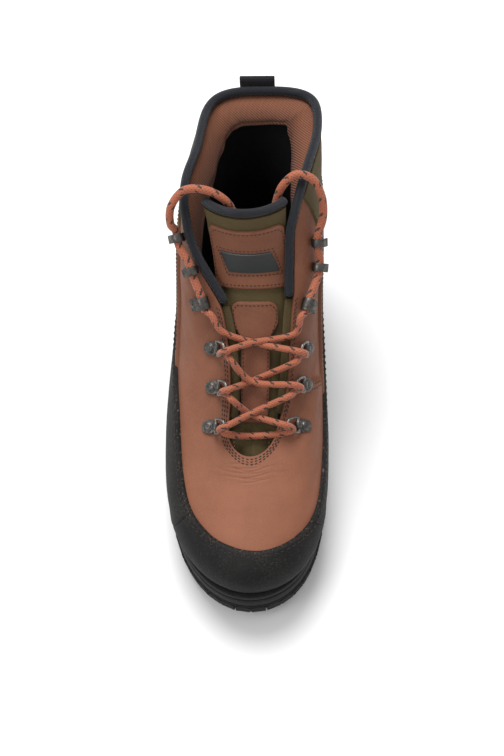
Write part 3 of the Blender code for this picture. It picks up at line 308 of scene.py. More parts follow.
# The rand's top edge: degrees round from the front, level
RAND_TOP = np.array(
    [
        [-180, 4.5], [-140, 4.3], [-110, 4.05], [-85, 3.85], [-65, 3.65], [-50, 3.13], [-42, 2.88],
        [-27, 2.87], [-10, 2.97], [6, 2.91], [18, 2.77], [31, 2.48], [41, 2.20], [52, 2.10],
        [64, 2.35], [80, 2.75], [110, 3.70], [145, 4.25], [180, 4.5],
    ]
)
CAP_ENDS = (50.0, 38.0, 54.0, 40.0)

# Tongue: run, rise, side and half width of its middle line, from its tip to its free end
TONGUE = np.array(
    [
        [0.748, 0.359, 0.030, 0.130], [0.699, 0.397, 0.034, 0.146], [0.621, 0.470, 0.052, 0.163],
        [0.534, 0.573, 0.060, 0.180], [0.459, 0.681, 0.056, 0.218], [0.4015, 0.7936, 0.038, 0.244],
        [0.3735, 0.9076, 0.020, 0.250], [0.3585, 1.005, 0.010, 0.262],
    ]
) * np.array([OUTSOLE_LENGTH, COLLAR_HEIGHT, BALL_WIDTH, BALL_WIDTH])
TONGUE_TOP = len(TONGUE) - 1
PATCH_SPAN = (4.50, 6.45)
PATCH_HALF = 0.0252
PATCH_MORE = 0.0014
FOOT_MORE = 0.14
TOP_MORE = 0.07
BADGE_SPAN = (4.95, 5.60)
BADGE_SIDES = (-0.0165, 0.0165)
BADGE_SLANT = 0.0025
BADGE_THICKNESS = 0.0006
STRIP_SPAN = (1.60, 4.20)
STRIP_HALF = 0.0098
STRIP_HEAD = 0.0158
HEAD_LENGTH = 0.9
STEP_ON_TONGUE = 0.022

RING_ROWS = [
    ((-34.5, 4.96), (48.5, 4.45)), ((-34.5, 5.79), (53.5, 5.15)), ((-35.0, 6.56), (53.5, 6.02))
]
LOCK_ROW = ((-38.0, 7.54), (47.0, 7.20))
HOOK_ROWS = [((-45.8, 8.29), (64.0, 7.60)), ((-61.0, 8.80), (68.0, 8.25))]

# Folds across the vamp, as angle round from the front and level. Each line is a bundle of
# fine grooves: its count, the levels it spreads over, and a groove's depth and half width.
VAMP_FOLDS = [
    ([(-0.66, 4.02), (-0.38, 4.41), (-0.03, 4.53), (0.29, 4.48), (0.66, 4.10)], 5, 0.052),
    ([(-0.60, 4.28), (-0.24, 4.66), (0.16, 4.70), (0.59, 4.36)], 2, 0.060),
]
FOLD_DEPTH = 0.00022
FOLD_HALF = 0.00050
LEVEL_STEP = 0.030
QUARTER_SEAM = [(0.60, 6.05), (0.632, 5.85), (0.927, 5.26), (1.214, 4.33), (1.36, 3.65)]


# Shapes of the boot


def smooth(knots, values, at):
    """Cubic curve through the rows of values at the knots, read at the places given: each
    stretch is the Hermite blend of its two ends and their slopes."""
    knots = np.asarray(knots, float)
    values = np.asarray(values, float)
    at = np.clip(np.asarray(at, float), knots[0], knots[-1])
    slopes = np.gradient(values, knots, axis=0)
    i = np.clip(np.searchsorted(knots, at, side="right") - 1, 0, len(knots) - 2)
    width = knots[i + 1] - knots[i]
    u = (at - knots[i]) / width
    if values.ndim > 1:
        u = u[..., None]
        width = width[..., None]
    return (
        values[i] * (2 * u**3 - 3 * u**2 + 1)
        + slopes[i] * width * (u**3 - 2 * u**2 + u)
        + values[i + 1] * (3 * u**2 - 2 * u**3)
        + slopes[i + 1] * width * (u**3 - u**2)
    )


def ease(share):
    """The share from 0 to 1 with a slope of 0 at both ends."""
    share = np.clip(share, 0, 1)
    return share * share * (3 - 2 * share)


def place(points):
    """(side, run, rise) rows to world coordinates: the toe points along -Y."""
    points = np.asarray(points, float)
    centre_side, centre_run = plan_centre()
    world = np.empty_like(points)
    world[..., 0] = points[..., 0] - centre_side
    world[..., 1] = centre_run - points[..., 1]
    world[..., 2] = points[..., 2]
    return world


def unit(vectors):
    """The vectors, each divided by its own length."""
    return vectors / np.linalg.norm(vectors, axis=-1, keepdims=True)


def sole_outline(phi, inset=0.0):
    """Plan points (side, run) of the sole's edge: run goes with (1 + cos phi) / 2, side with
    sin phi times the half width there, and the edge is moved in along its normal."""

    def edge(angle):
        share = (1 + np.cos(angle)) / 2
        weights = smooth(WIDTH_AT, np.eye(len(WIDTH_AT)), share)
        half = np.where(np.sin(angle) > 0, weights @ SOLE_MEDIAL, weights @ SOLE_LATERAL)
        side = half * np.sin(angle) + SOLE_LEAN * share**4
        return np.stack([side * BALL_WIDTH, share * OUTSOLE_LENGTH], axis=-1)

    step = 1e-3
    along = unit(edge(phi + step) - edge(phi - step))
    outward = np.stack([-along[..., 1], along[..., 0]], axis=-1)
    return edge(phi) - outward * np.asarray(inset)[..., None]


def underside(run):
    """Height of the lugs' feet: flat under heel and ball, raised at the arch and toe."""
    heights = smooth(SOLE_HEIGHTS[:, 0], SOLE_HEIGHTS[:, 1:], run / OUTSOLE_LENGTH)
    rise = np.maximum(heights[..., 1], 0) * ARCH_RISE
    rise += np.maximum(heights[..., 2], 0) * TOE_SPRING
    return np.where(rise < GAP, 0.0, rise)


def sole_top(run):
    """Height of the midsole's top, which the upper stands on."""
    drop = smooth(SOLE_HEIGHTS[:, 0], SOLE_HEIGHTS[:, 1], run / OUTSOLE_LENGTH)
    return HEEL_STACK + (BALL_STACK - HEEL_STACK) * drop


def boot_wall(phi, level, offset=0.0):
    """Points of the upper's outer face, moved out along its normal. Each level is a ring
    whose half width varies from back to front and whose height falls towards the front;
    the normal is the cross product of its two directions by small steps."""

    def face(angle, ring):
        row = smooth(np.arange(len(RINGS)), RINGS, ring)
        front, front_rise, back, back_rise, drop, square = np.moveaxis(row, -1, 0)[:6]
        lean_front, lean_back, feather = np.moveaxis(row, -1, 0)[6:]
        lateral = smooth(np.arange(len(RINGS)), RING_LATERAL, ring)
        medial = smooth(np.arange(len(RINGS)), RING_MEDIAL, ring)
        sine, cosine = np.sin(angle), np.cos(angle)
        share = (1 + np.sign(cosine) * np.abs(cosine) ** square) / 2
        weights = smooth(WIDTH_AT, np.eye(len(WIDTH_AT)), share)
        halves = np.where((sine > 0)[..., None], medial, lateral)
        half = (weights * halves).sum(-1)
        side = half * np.sign(sine) * np.abs(sine) ** square
        side = side + lean_front * share**4 + lean_back * (1 - share) ** 2
        run = (back + (front - back) * share) * OUTSOLE_LENGTH
        rise = (back_rise + (front_rise - back_rise) * share**drop) * COLLAR_HEIGHT
        ends = RINGS[0, 3] + (RINGS[0, 1] - RINGS[0, 3]) * share
        rise = rise + feather * (sole_top(run) + GAP - ends * COLLAR_HEIGHT)
        return np.stack([side * BALL_WIDTH, run, rise], axis=-1)

    phi, level = np.broadcast_arrays(np.asarray(phi, float), np.asarray(level, float))
    points = face(phi, level)
    if np.any(offset):
        step = 2e-3
        low, high = np.maximum(level - step, 0), np.minimum(level + step, TOP_RING)
        across = face(phi + step, level) - face(phi - step, level)
        upward = face(phi, high) - face(phi, low)
        points = points + unit(np.cross(upward, across)) * np.asarray(offset)[..., None]
    return points


def wall_normal(phi, level, offset=0.0):
    """Unit direction out of the upper's wall, between two points a small step apart."""
    far = boot_wall(phi, level, offset + NORMAL_STEP)
    return (far - boot_wall(phi, level, offset)) / NORMAL_STEP


def wall_pattern(phi, level):
    """Places on a cloth's pattern: by angle round the wall and by level up it."""
    return np.stack([phi * PATTERN_STEP[0], level * PATTERN_STEP[1]], -1)


@functools.cache
def plan_centre():
    """Middle of the plan of the outsole and the rand, under which the origin lies."""
    around = np.linspace(-math.pi, math.pi, 721)
    sole = sole_outline(around, -LUG_REACH)
    levels = np.linspace(0.5, 3, 6)[:, None]
    rand = boot_wall(around, levels, OVERLAY_GAP + RAND_THICKNESS)[..., :2].reshape(-1, 2)
    both = np.concatenate([sole, rand])
    return (both.min(0) + both.max(0)) / 2


def throat_edges(level):
    """Angles of the throat's two edges at those levels, in radians: (inner, outer side)."""
    cut = np.radians(smooth(THROAT[:, 0], THROAT[:, 1:], level))
    bottom = end_rounding(level - THROAT_BOTTOM, THROAT_ROUND)
    return cut[..., 1] * bottom, -cut[..., 0] * bottom


def open_rows(levels, share):
    """Angles and levels of rows from the throat's inner edge round the heel to its outer
    edge: each row dips near both edges above level 8, with the square of the nearness."""
    near = np.clip(np.minimum(share, 1 - share) / CORNER_SHARE, 0, 1)
    dip = CORNER_DROP * (1 - near) ** 2
    heights = levels[:, None] - np.maximum(0, levels - 8)[:, None] * dip
    inner, outer = throat_edges(heights)
    return inner + (outer + 2 * math.pi - inner) * share, heights


def front_heavy(count):
    """Shares from 0 to 1 that lie closer together near both ends."""
    share = np.linspace(0, 1, count)
    return share - 0.35 * np.sin(2 * math.pi * share) / (2 * math.pi)


def rand_level(angles):
    """Level of the rand's top edge at those angles."""
    turned = (np.degrees(angles) + 180) % 360 - 180
    return smooth(RAND_TOP[:, 0], RAND_TOP[:, 1], turned)


def tongue_face(place_on, across, offset=0.0):
    """Points of the tongue's outer face: a line from tip to free end carries a circular
    arch of TONGUE_ARCH, and across is measured along that arch."""
    place_on, across = np.broadcast_arrays(np.asarray(place_on, float), np.asarray(across, float))
    rows = np.arange(len(TONGUE))
    line = smooth(rows, TONGUE, place_on)
    ahead = smooth(rows, TONGUE, np.minimum(place_on + 0.05, rows[-1]))
    behind = smooth(rows, TONGUE, np.maximum(place_on - 0.05, 0))
    run, rise = ahead[..., 0] - behind[..., 0], ahead[..., 1] - behind[..., 1]
    length = np.hypot(run, rise)
    out_run, out_rise = rise / length, -run / length
    turn = across / TONGUE_ARCH
    side = line[..., 2] + (TONGUE_ARCH + offset) * np.sin(turn)
    drop = TONGUE_ARCH - (TONGUE_ARCH + offset) * np.cos(turn)
    return np.stack([side, line[..., 0] - out_run * drop, line[..., 1] - out_rise * drop], axis=-1)


def tongue_width(place_on):
    """Half width of the solid tongue along its middle line."""
    return smooth(np.arange(len(TONGUE)), TONGUE[:, 3], place_on)


def tongue_reach(place_on):
    """Half width of the dressed tongue: a little over the solid's at both ends."""
    low, high = ease((2.0 - place_on) / 1.2), ease((place_on - 4.0) / 2.0)
    return tongue_width(place_on) * (1 + FOOT_MORE * low + TOP_MORE * high)


def lengths_along(path):
    """Length of a path up to each of its points."""
    return np.concatenate([[0], np.cumsum(np.linalg.norm(np.diff(path, axis=0), axis=1))])


def evened(path, step):
    """The same path with points at even steps of its length."""
    length = lengths_along(path)
    count = max(2, int(round(length[-1] / step)) + 1)
    at = np.linspace(0, length[-1], count)
    return np.column_stack([np.interp(at, length, path[:, k]) for k in range(3)])


def curve_through(points, step):
    """An even path along the cubic curve through way points, timed by the root of chords."""
    points = np.array(points)
    chords = np.linalg.norm(np.diff(points, axis=0), axis=1)
    length = np.concatenate([[0], np.cumsum(chords**0.5)])
    fine = smooth(length, points, np.linspace(0, length[-1], 60 * len(points)))
    return evened(fine, step)


def frame_along(path):
    """Unit directions along a path of points."""
    return unit(np.gradient(path, axis=0))


def cord_frames(path, start):
    """Directions along, across and over a path, with no twist: each across direction is the
    one before it without its part along the path."""
    ahead = frame_along(path)
    across = np.empty_like(path)
    side = np.asarray(start, float)
    for k, direction in enumerate(ahead):
        side = side - direction * (side @ direction)
        side = side / np.linalg.norm(side)
        across[k] = side
    return ahead, across, np.cross(across, ahead)


def seat(angle, level, offset, along=None):
    """A frame on the boot's wall: its origin and its directions towards the throat, up
    along the throat and out of the leather."""
    angle = math.radians(angle)
    origin = boot_wall(angle, level)
    out = wall_normal(angle, level)
    toward = boot_wall(angle - math.copysign(0.02, angle), level) - origin
    up = boot_wall(angle, level + 0.05) - boot_wall(angle, level - 0.05)
    if along is not None:
        up = along
    up = up - out * (up @ out)
    up /= np.linalg.norm(up)
    toward -= out * (toward @ out)
    toward -= up * (toward @ up)
    toward /= np.linalg.norm(toward)
    return origin + out * offset, np.stack([toward, up, out])


def hardware_seats():
    """Frames of the D rings and the hooks; a hook stands along the line of its neighbours."""
    rings, hooks = {}, {}
    rows = [LOCK_ROW] + HOOK_ROWS
    for pick, side in enumerate(("lateral", "medial")):
        for row, pair in enumerate(RING_ROWS, 1):
            rings[f"{row}_{side}"] = seat(*pair[pick], OVERLAY_GAP)
        spots = [boot_wall(math.radians(pair[pick][0]), pair[pick][1]) for pair in rows]
        for row, pair in enumerate(rows):
            along = spots[min(row + 1, 2)] - spots[max(row - 1, 0)]
            hooks[f"{row + 4}_{side}"] = seat(*pair[pick], OVERLAY_GAP, along)
    return rings, hooks


def ring_directions(axes):
    """Reach and lift of a D ring, tilted up off the leather by its side's angle."""
    tilt = math.radians(RING_TILT_MEDIAL if axes[2][0] > 0 else RING_TILT_LATERAL)
    reach = math.cos(tilt) * axes[0] + math.sin(tilt) * axes[2]
    lift = math.cos(tilt) * axes[2] - math.sin(tilt) * axes[0]
    return reach, lift


def ring_arc_point(origin, axes):
    """The middle of the ring's arc with the ring's reach and lift directions."""
    reach, lift = ring_directions(axes)
    bar = origin + BAR_AT[0] * axes[0] + BAR_AT[1] * axes[2]
    return bar + (RING_REACH - 2 * RING_WIRE) * reach, reach, lift


def hook_channel(seat_frame, along, inward=0.0):
    """Middle of the lace where it runs up through a hook."""
    origin, axes = seat_frame
    inside = HOOK_BEND + HOOK_THROAT / 2 - LACE_RADIUS - 0.0005
    local = np.array([inside + inward, along, HOOK_SHEET + HOOK_THROAT / 2])
    return origin + local @ axes


# Meshes


def grid_quads(index):
    """Four corners of each cell of a grid of vertex numbers."""
    return np.stack(
        [index[:-1, :-1], index[:-1, 1:], index[1:, 1:], index[1:, :-1]], axis=-1
    ).reshape(-1, 4)


def add_object(name, data):
    """A new object in the scene."""
    made = bpy.data.objects.new(name, data)
    bpy.context.scene.collection.objects.link(made)
    return made


def add_piece(name, points, faces, finishes, nodes=(), uv=None, marks=None, picks=None, sharp=35):
    """A closed mesh in world coordinates from points, faces and, for each point, its place
    on the pattern and its marks. Doubles are merged and the faces made to point outwards."""
    mesh = bpy.data.meshes.new(name)
    mesh.from_pydata(points, [], faces)
    if uv is not None:
        corner = np.empty(len(mesh.loops), np.int32)
        mesh.loops.foreach_get("vertex_index", corner)
        layer = mesh.uv_layers.new(name="pattern")
        layer.data.foreach_set("uv", uv[corner].astype(np.float32).ravel())
    for label, values in (marks or {}).items():
        layer = mesh.attributes.new(label, "FLOAT", "POINT")
        layer.data.foreach_set("value", np.asarray(values, np.float32).ravel())
    if picks is not None:
        mesh.polygons.foreach_set("material_index", picks.astype(np.int32))
    work = bmesh.new()
    work.from_mesh(mesh)
    bmesh.ops.remove_doubles(work, verts=work.verts, dist=2e-6)
    bmesh.ops.dissolve_degenerate(work, dist=2e-6, edges=work.edges)
    loose = [v for v in work.verts if not v.link_faces]
    bmesh.ops.delete(work, geom=loose, context="VERTS")
    bmesh.ops.recalc_face_normals(work, faces=work.faces)
    work.to_mesh(mesh)
    work.free()
    for finish in finishes:
        mesh.materials.append(finish)
    mesh.shade_smooth()
    mesh.set_sharp_from_angle(angle=math.radians(sharp))
    made = add_object(name, mesh)
    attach(made, "root")
    if nodes:
        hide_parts(*nodes)
    return made


def add_sheet(name, outer, inner, finishes, slot, nodes=(), uv=None, closed_rows=0, marks=None):
    """A wall between two grids of rows and columns. The first closed_rows rows are rings,
    whose last column is their first. The inner face takes the last finish."""
    rows, columns = outer.shape[:2]
    index = np.arange(2 * rows * columns).reshape(2, rows, columns)
    index[:, :closed_rows, -1] = index[:, :closed_rows, 0]
    first = max(0, closed_rows - 1)
    rims = []
    for line in (index[:, 0], index[:, -1], index[:, first:, 0], index[:, first:, -1]):
        rims.append(np.stack([line[0, :-1], line[0, 1:], line[1, 1:], line[1, :-1]], -1))
    outside = grid_quads(index[0])
    inside = grid_quads(index[1])[:, ::-1]
    faces = np.concatenate([outside, inside, *rims])
    picks = np.zeros(len(faces))
    picks[len(outside) : len(outside) + len(inside)] = len(finishes) - 1
    points = place(np.concatenate([outer.reshape(-1, 3), inner.reshape(-1, 3)]))
    if uv is not None:
        uv = np.tile(uv.reshape(-1, 2), (2, 1))
    both = {k: np.tile(np.asarray(v).ravel(), 2) for k, v in (marks or {}).items()}
    return add_piece(name, points, faces, finishes, nodes, uv, both, picks)


def add_rings(name, rings, finishes, nodes=()):
    """A solid of closed rings one after the other. Each ring's points mirror each other
    about its first, so that the two caps are strips from side to side."""
    rings = np.asarray(rings)
    count = rings.shape[1]
    index = np.arange(rings.shape[0] * count).reshape(-1, count)
    sides = grid_quads(np.concatenate([index, index[:, :1]], axis=1))
    near = np.arange(count // 2)
    strip = np.stack([near, near + 1, (count - near - 1) % count, (count - near) % count], -1)
    faces = np.concatenate([sides, index[0][strip], index[-1][strip]])
    return add_piece(name, place(rings.reshape(-1, 3)), faces.tolist(), finishes, nodes)


def add_cord(name, path, radii, finishes, nodes=(), start=(0, 0, 1), sides=CORD_SIDES, full=None):
    """A tube along a path: each ring is an oval with the two radii, times its share of full
    size where that is given, and both ends close to a point over a rounded cap. The pattern
    runs by length along and by turn around."""
    ahead, across, over = cord_frames(path, start)
    wide, thick = radii
    full = np.ones(len(path)) if full is None else full
    turn = np.linspace(0, 2 * math.pi, sides + 1)
    cap = np.radians([90, 60, 30])
    size = np.concatenate([np.cos(cap) * full[0], full, np.cos(cap[::-1]) * full[-1]])
    reach = np.concatenate([-np.sin(cap), np.zeros(len(path)), np.sin(cap[::-1])]) * thick * 0.6
    pick = np.concatenate([[0, 0, 0], np.arange(len(path)), [-1, -1, -1]])
    middle = path[pick] + ahead[pick] * reach[:, None]
    rings = (
        middle[:, None]
        + (size[:, None] * wide * np.cos(turn))[..., None] * across[pick][:, None]
        + (size[:, None] * thick * np.sin(turn))[..., None] * over[pick][:, None]
    )
    length = lengths_along(middle)
    uv = np.stack(np.broadcast_arrays(length[:, None], turn / (2 * math.pi)), -1)
    index = np.arange(len(middle) * (sides + 1)).reshape(len(middle), -1)
    return add_piece(
        name, place(rings.reshape(-1, 3)), grid_quads(index), finishes, nodes, uv.reshape(-1, 2)
    )


def bevel_edges(piece, width, least=30):
    """Rounds the edges whose faces meet at more than that many degrees."""
    edges = piece.modifiers.new("edges", "BEVEL")
    edges.width = width
    edges.segments = 2
    edges.limit_method = "ANGLE"
    edges.angle_limit = math.radians(least)


def end_rounding(distance, radius):
    """From 0 at an edge to 1 at the radius and beyond, along a quarter circle."""
    return np.sqrt(1 - (1 - np.clip(distance / radius, 0, 1)) ** 2)


def eased(count, power=1.6):
    """Shares from 0 to 1 that lie close together at both ends."""
    t = np.linspace(-1, 1, count)
    return (1 + np.sign(t) * (1 - (1 - np.abs(t)) ** power)) / 2


def ripples(a, b, seed):
    """A smooth uneven field: a sum of sine waves in random directions, from -1 to 1."""
    rng = np.random.default_rng(seed)
    total = np.zeros(np.broadcast(a, b).shape)
    for _ in range(RIPPLE_WAVES):
        turn, pace, shift = rng.uniform(0, math.pi), rng.uniform(*RIPPLE_PACE), rng.uniform(0, 6.3)
        total += np.sin(pace * (a * math.cos(turn) + b * math.sin(turn)) + shift)
    return total / RIPPLE_WAVES


# Materials


def put(tree, kind, inputs=None, **settings):
    """Adds a node. Settings are its own properties; each input gets a value or a socket."""
    made = tree.nodes.new(kind)
    for key, value in settings.items():
        setattr(made, key, value)
    for key, value in (inputs or {}).items():
        if isinstance(value, bpy.types.NodeSocket):
            tree.links.new(value, made.inputs[key])
        else:
            made.inputs[key].default_value = value
    return made


def calc(tree, operation, *values):
    """Output of a Math node on one, two or three values."""
    return put(tree, "ShaderNodeMath", dict(enumerate(values)), operation=operation).outputs[0]


def spread(tree, value, low, high, to_low=0.0, to_high=1.0):
    """Output of a Map Range node: low to high becomes to_low to to_high."""
    inputs = {"Value": value, 1: low, 2: high, 3: to_low, 4: to_high}
    return put(tree, "ShaderNodeMapRange", inputs).outputs[0]


def mixed(tree, share, first, second):
    """Output of a colour Mix node."""
    inputs = {0: share, 6: first, 7: second}
    return put(tree, "ShaderNodeMix", inputs, data_type="RGBA").outputs[2]


def noise(tree, vector, scale, detail=4.0, roughness=0.55):
    """Output of a Noise Texture node."""
    inputs = {"Vector": vector, "Scale": scale, "Detail": detail, "Roughness": roughness}
    return put(tree, "ShaderNodeTexNoise", inputs).outputs[0]


def new_group(name, inputs, outputs):
    """An empty shader node group with named sockets, and its two end nodes."""
    tree = bpy.data.node_groups.new(name, "ShaderNodeTree")
    kinds = {"vector": "NodeSocketVector", "value": "NodeSocketFloat"}
    for label, kind, default in inputs:
        socket = tree.interface.new_socket(label, in_out="INPUT", socket_type=kinds[kind])
        if default is not None:
            socket.default_value = default
    for label in outputs:
        tree.interface.new_socket(label, in_out="OUTPUT", socket_type="NodeSocketFloat")
    return tree, tree.nodes.new("NodeGroupInput").outputs, tree.nodes.new("NodeGroupOutput").inputs


@functools.cache
def grain_group():
    """Leather grain: small cells with sunk edges, finer pores and a slow mottling."""
    tree, given, out = new_group(
        "leather_grain",
        [("Place", "vector", None), ("Cells", "value", 900.0), ("Pores", "value", 0.3)],
        ["Height", "Mottle"],
    )
    warp = put(tree, "ShaderNodeTexNoise", {"Vector": given["Place"], "Scale": 60.0})
    bend = put(
        tree, "ShaderNodeVectorMath", {0: warp.outputs[1], 1: (0.006, 0.006, 0.006)},
        operation="MULTIPLY",
    )
    moved = put(tree, "ShaderNodeVectorMath", {0: given["Place"], 1: bend.outputs[0]})
    cells = put(
        tree, "ShaderNodeTexVoronoi", {"Vector": moved.outputs[0], "Scale": given["Cells"]},
        feature="DISTANCE_TO_EDGE",
    )
    edge = spread(tree, cells.outputs[0], 0.0, 0.28)
    pores = noise(tree, given["Place"], 2600.0, 3.0)
    fine = calc(tree, "MULTIPLY", pores, given["Pores"])
    tree.links.new(calc(tree, "ADD", edge, fine), out["Height"])
    slow = noise(tree, given["Place"], 34.0, 6.0, 0.62)
    tree.links.new(spread(tree, slow, 0.30, 0.70), out["Mottle"])
    return tree


@functools.cache
def dust_group():
    """Dust and scuffs: patches of specks, thicker where Amount is larger."""
    tree, given, out = new_group(
        "dust", [("Place", "vector", None), ("Amount", "value", 0.5)], ["Mask"]
    )
    patches = spread(tree, noise(tree, given["Place"], 45.0, 5.0, 0.7), 0.42, 0.72)
    specks = spread(tree, noise(tree, given["Place"], 900.0, 4.0, 0.75), 0.50, 0.74)
    both = calc(tree, "MULTIPLY", calc(tree, "ADD", patches, 0.25), specks)
    tree.links.new(calc(tree, "MULTIPLY", both, given["Amount"]), out["Mask"])
    return tree


@functools.cache
def weave_group():
    """Plain weave: threads both ways, each a rounded ridge that goes over and under."""
    tree, given, out = new_group(
        "weave", [("Place", "vector", None), ("Threads", "value", 1500.0)], ["Height", "Thread"]
    )
    scaled = put(
        tree, "ShaderNodeVectorMath", {0: given["Place"], "Scale": given["Threads"]}, operation="SCALE"
    )
    parts = put(tree, "ShaderNodeSeparateXYZ", {0: scaled.outputs[0]})
    wave = {}
    for axis in (0, 1):
        wave[axis] = calc(tree, "SINE", calc(tree, "MULTIPLY", parts.outputs[axis], math.pi))
    over = calc(tree, "MULTIPLY", wave[0], wave[1])
    ridge = calc(tree, "MAXIMUM", calc(tree, "ABSOLUTE", wave[0]), calc(tree, "ABSOLUTE", wave[1]))
    tree.links.new(calc(tree, "MULTIPLY_ADD", over, 0.35, ridge), out["Height"])
    tree.links.new(spread(tree, over, -0.6, 0.6), out["Thread"])
    return tree


def new_material(name):
    """A material with its node tree and the inputs of its shader."""
    made = bpy.data.materials.new(name)
    made.use_nodes = True
    tree = made.node_tree
    return made, tree, tree.nodes["Principled BSDF"].inputs


def object_place(tree):
    """Object coordinates, in metres."""
    return put(tree, "ShaderNodeTexCoord").outputs["Object"]


def pattern_place(tree):
    """Coordinates on the piece's pattern, in metres."""
    return put(tree, "ShaderNodeUVMap", uv_map="pattern").outputs[0]


def mark(tree, name):
    """A value stored on the piece's points."""
    return put(tree, "ShaderNodeAttribute", attribute_name=name).outputs["Fac"]


def use_group(tree, group, **inputs):
    """Outputs of a node group with the inputs given. The tree is set first, since it makes
    the sockets."""
    return put(tree, "ShaderNodeGroup", inputs, node_tree=group).outputs


def raise_surface(tree, shader, height, distance, strength=1.0):
    """Bumps the shader's normal by a height."""
    inputs = {"Height": height, "Distance": distance, "Strength": strength}
    tree.links.new(put(tree, "ShaderNodeBump", inputs).outputs[0], shader["Normal"])


def tinted(colour, factor):
    """The colour times a factor, as four numbers."""
    return (*(min(1.0, c * factor) for c in tuple(colour)[:3]), 1.0)


@functools.cache
def leather_finish(name, shade=1.0):
    """Oiled leather: mottled brown, with painted shade in its folds and along its edges, and painted
    light that makes it paler at the toe.
    """
    colour = bpy.context.scene.boot_colours.leather
    made, tree, shader = new_material(name)
    spot = object_place(tree)
    grain = use_group(tree, grain_group(), Place=spot, Cells=720.0, Pores=0.35)
    dust = use_group(tree, dust_group(), Place=spot, Amount=0.30)
    base = mixed(tree, grain["Mottle"], tinted(colour, 0.86 * shade), tinted(colour, 1.12 * shade))
    stains = spread(tree, noise(tree, spot, 11.0, 5.0, 0.6), 0.50, 0.70, 0.0, 0.35)
    base = mixed(tree, stains, base, tinted(colour, 0.62 * shade))
    # painted shade in the vamp's creases and along the edges of sewn pieces, from the mark that the piece
    # carries
    painted_shade_share = spread(tree, mark(tree, "fold"), 0.0, 1.0, 0.0, 0.55)
    base = mixed(tree, painted_shade_share, base, tinted(colour, 0.50 * shade))
    # painted light: the leather grows paler from 5 cm to 10 cm ahead of the boot's middle, towards the
    # toe
    parts = put(tree, "ShaderNodeSeparateXYZ", {0: spot})
    painted_toe_light = spread(tree, parts.outputs[1], -0.050, -0.100, 0.0, 0.75)
    pale = mixed(tree, grain["Mottle"], tinted(colour, 1.32), tinted(colour, 1.55))
    base = mixed(tree, painted_toe_light, base, pale)
    base = mixed(tree, dust["Mask"], base, (0.36, 0.20, 0.13, 1))
    tree.links.new(base, shader["Base Color"])
    rough = spread(tree, grain["Mottle"], 0.0, 1.0, 0.66, 0.54)
    tree.links.new(rough, shader["Roughness"])
    shader["Specular IOR Level"].default_value = 0.18
    raise_surface(tree, shader, grain["Height"], 0.00012, 0.55)
    return made


@functools.cache
def rubber_finish(name, dusty=0.6, rough=0.72):
    """Matte black rubber with a sandy skin, pale dust and nicks along its edge."""
    colour = bpy.context.scene.boot_colours.rubber
    made, tree, shader = new_material(name)
    spot = object_place(tree)
    dust = use_group(tree, dust_group(), Place=spot, Amount=dusty)
    sand = noise(tree, spot, 1500.0, 3.0, 0.7)
    base = mixed(tree, sand, tinted(colour, 0.65), tinted(colour, 1.5))
    haze = spread(tree, noise(tree, spot, 26.0, 5.0, 0.65), 0.42, 0.75, 0.0, 0.30)
    base = mixed(tree, haze, base, (0.034, 0.031, 0.028, 1))
    base = mixed(tree, dust["Mask"], base, (0.075, 0.066, 0.054, 1))
    nick = spread(tree, noise(tree, spot, 620.0, 2.0, 0.5), 0.61, 0.70)
    nick = calc(tree, "MULTIPLY", nick, mark(tree, "rim"))
    base = mixed(tree, nick, base, (0.15, 0.10, 0.075, 1))
    tree.links.new(base, shader["Base Color"])
    tree.links.new(spread(tree, sand, 0.3, 0.7, rough - 0.10, rough + 0.12), shader["Roughness"])
    shader["Specular IOR Level"].default_value = 0.20
    raise_surface(tree, shader, calc(tree, "ADD", sand, haze), 0.00025, 0.6)
    return made


@functools.cache
def cloth_finish(name, which, threads, contrast=0.35, depth=0.00022, rough=0.85, sheen=0.15):
    """Woven cloth: two shades of thread with worn and dusty places."""
    colour = getattr(bpy.context.scene.boot_colours, which)
    made, tree, shader = new_material(name)
    spot = object_place(tree)
    weave = use_group(tree, weave_group(), Place=pattern_place(tree), Threads=threads)
    worn = spread(tree, noise(tree, spot, 40.0, 5.0, 0.6), 0.3, 0.75)
    base = mixed(tree, weave["Thread"], tinted(colour, 1 - contrast), tinted(colour, 1 + contrast))
    base = mixed(tree, worn, base, tinted(colour, 1.25))
    dust = use_group(tree, dust_group(), Place=spot, Amount=0.25)
    base = mixed(tree, dust["Mask"], base, tinted(colour, 1.9))
    tree.links.new(base, shader["Base Color"])
    tree.links.new(spread(tree, worn, 0.0, 1.0, rough - 0.06, rough + 0.06), shader["Roughness"])
    shader["Sheen Weight"].default_value = sheen
    shader["Specular IOR Level"].default_value = 0.25
    raise_surface(tree, shader, weave["Height"], depth, 0.8)
    return made


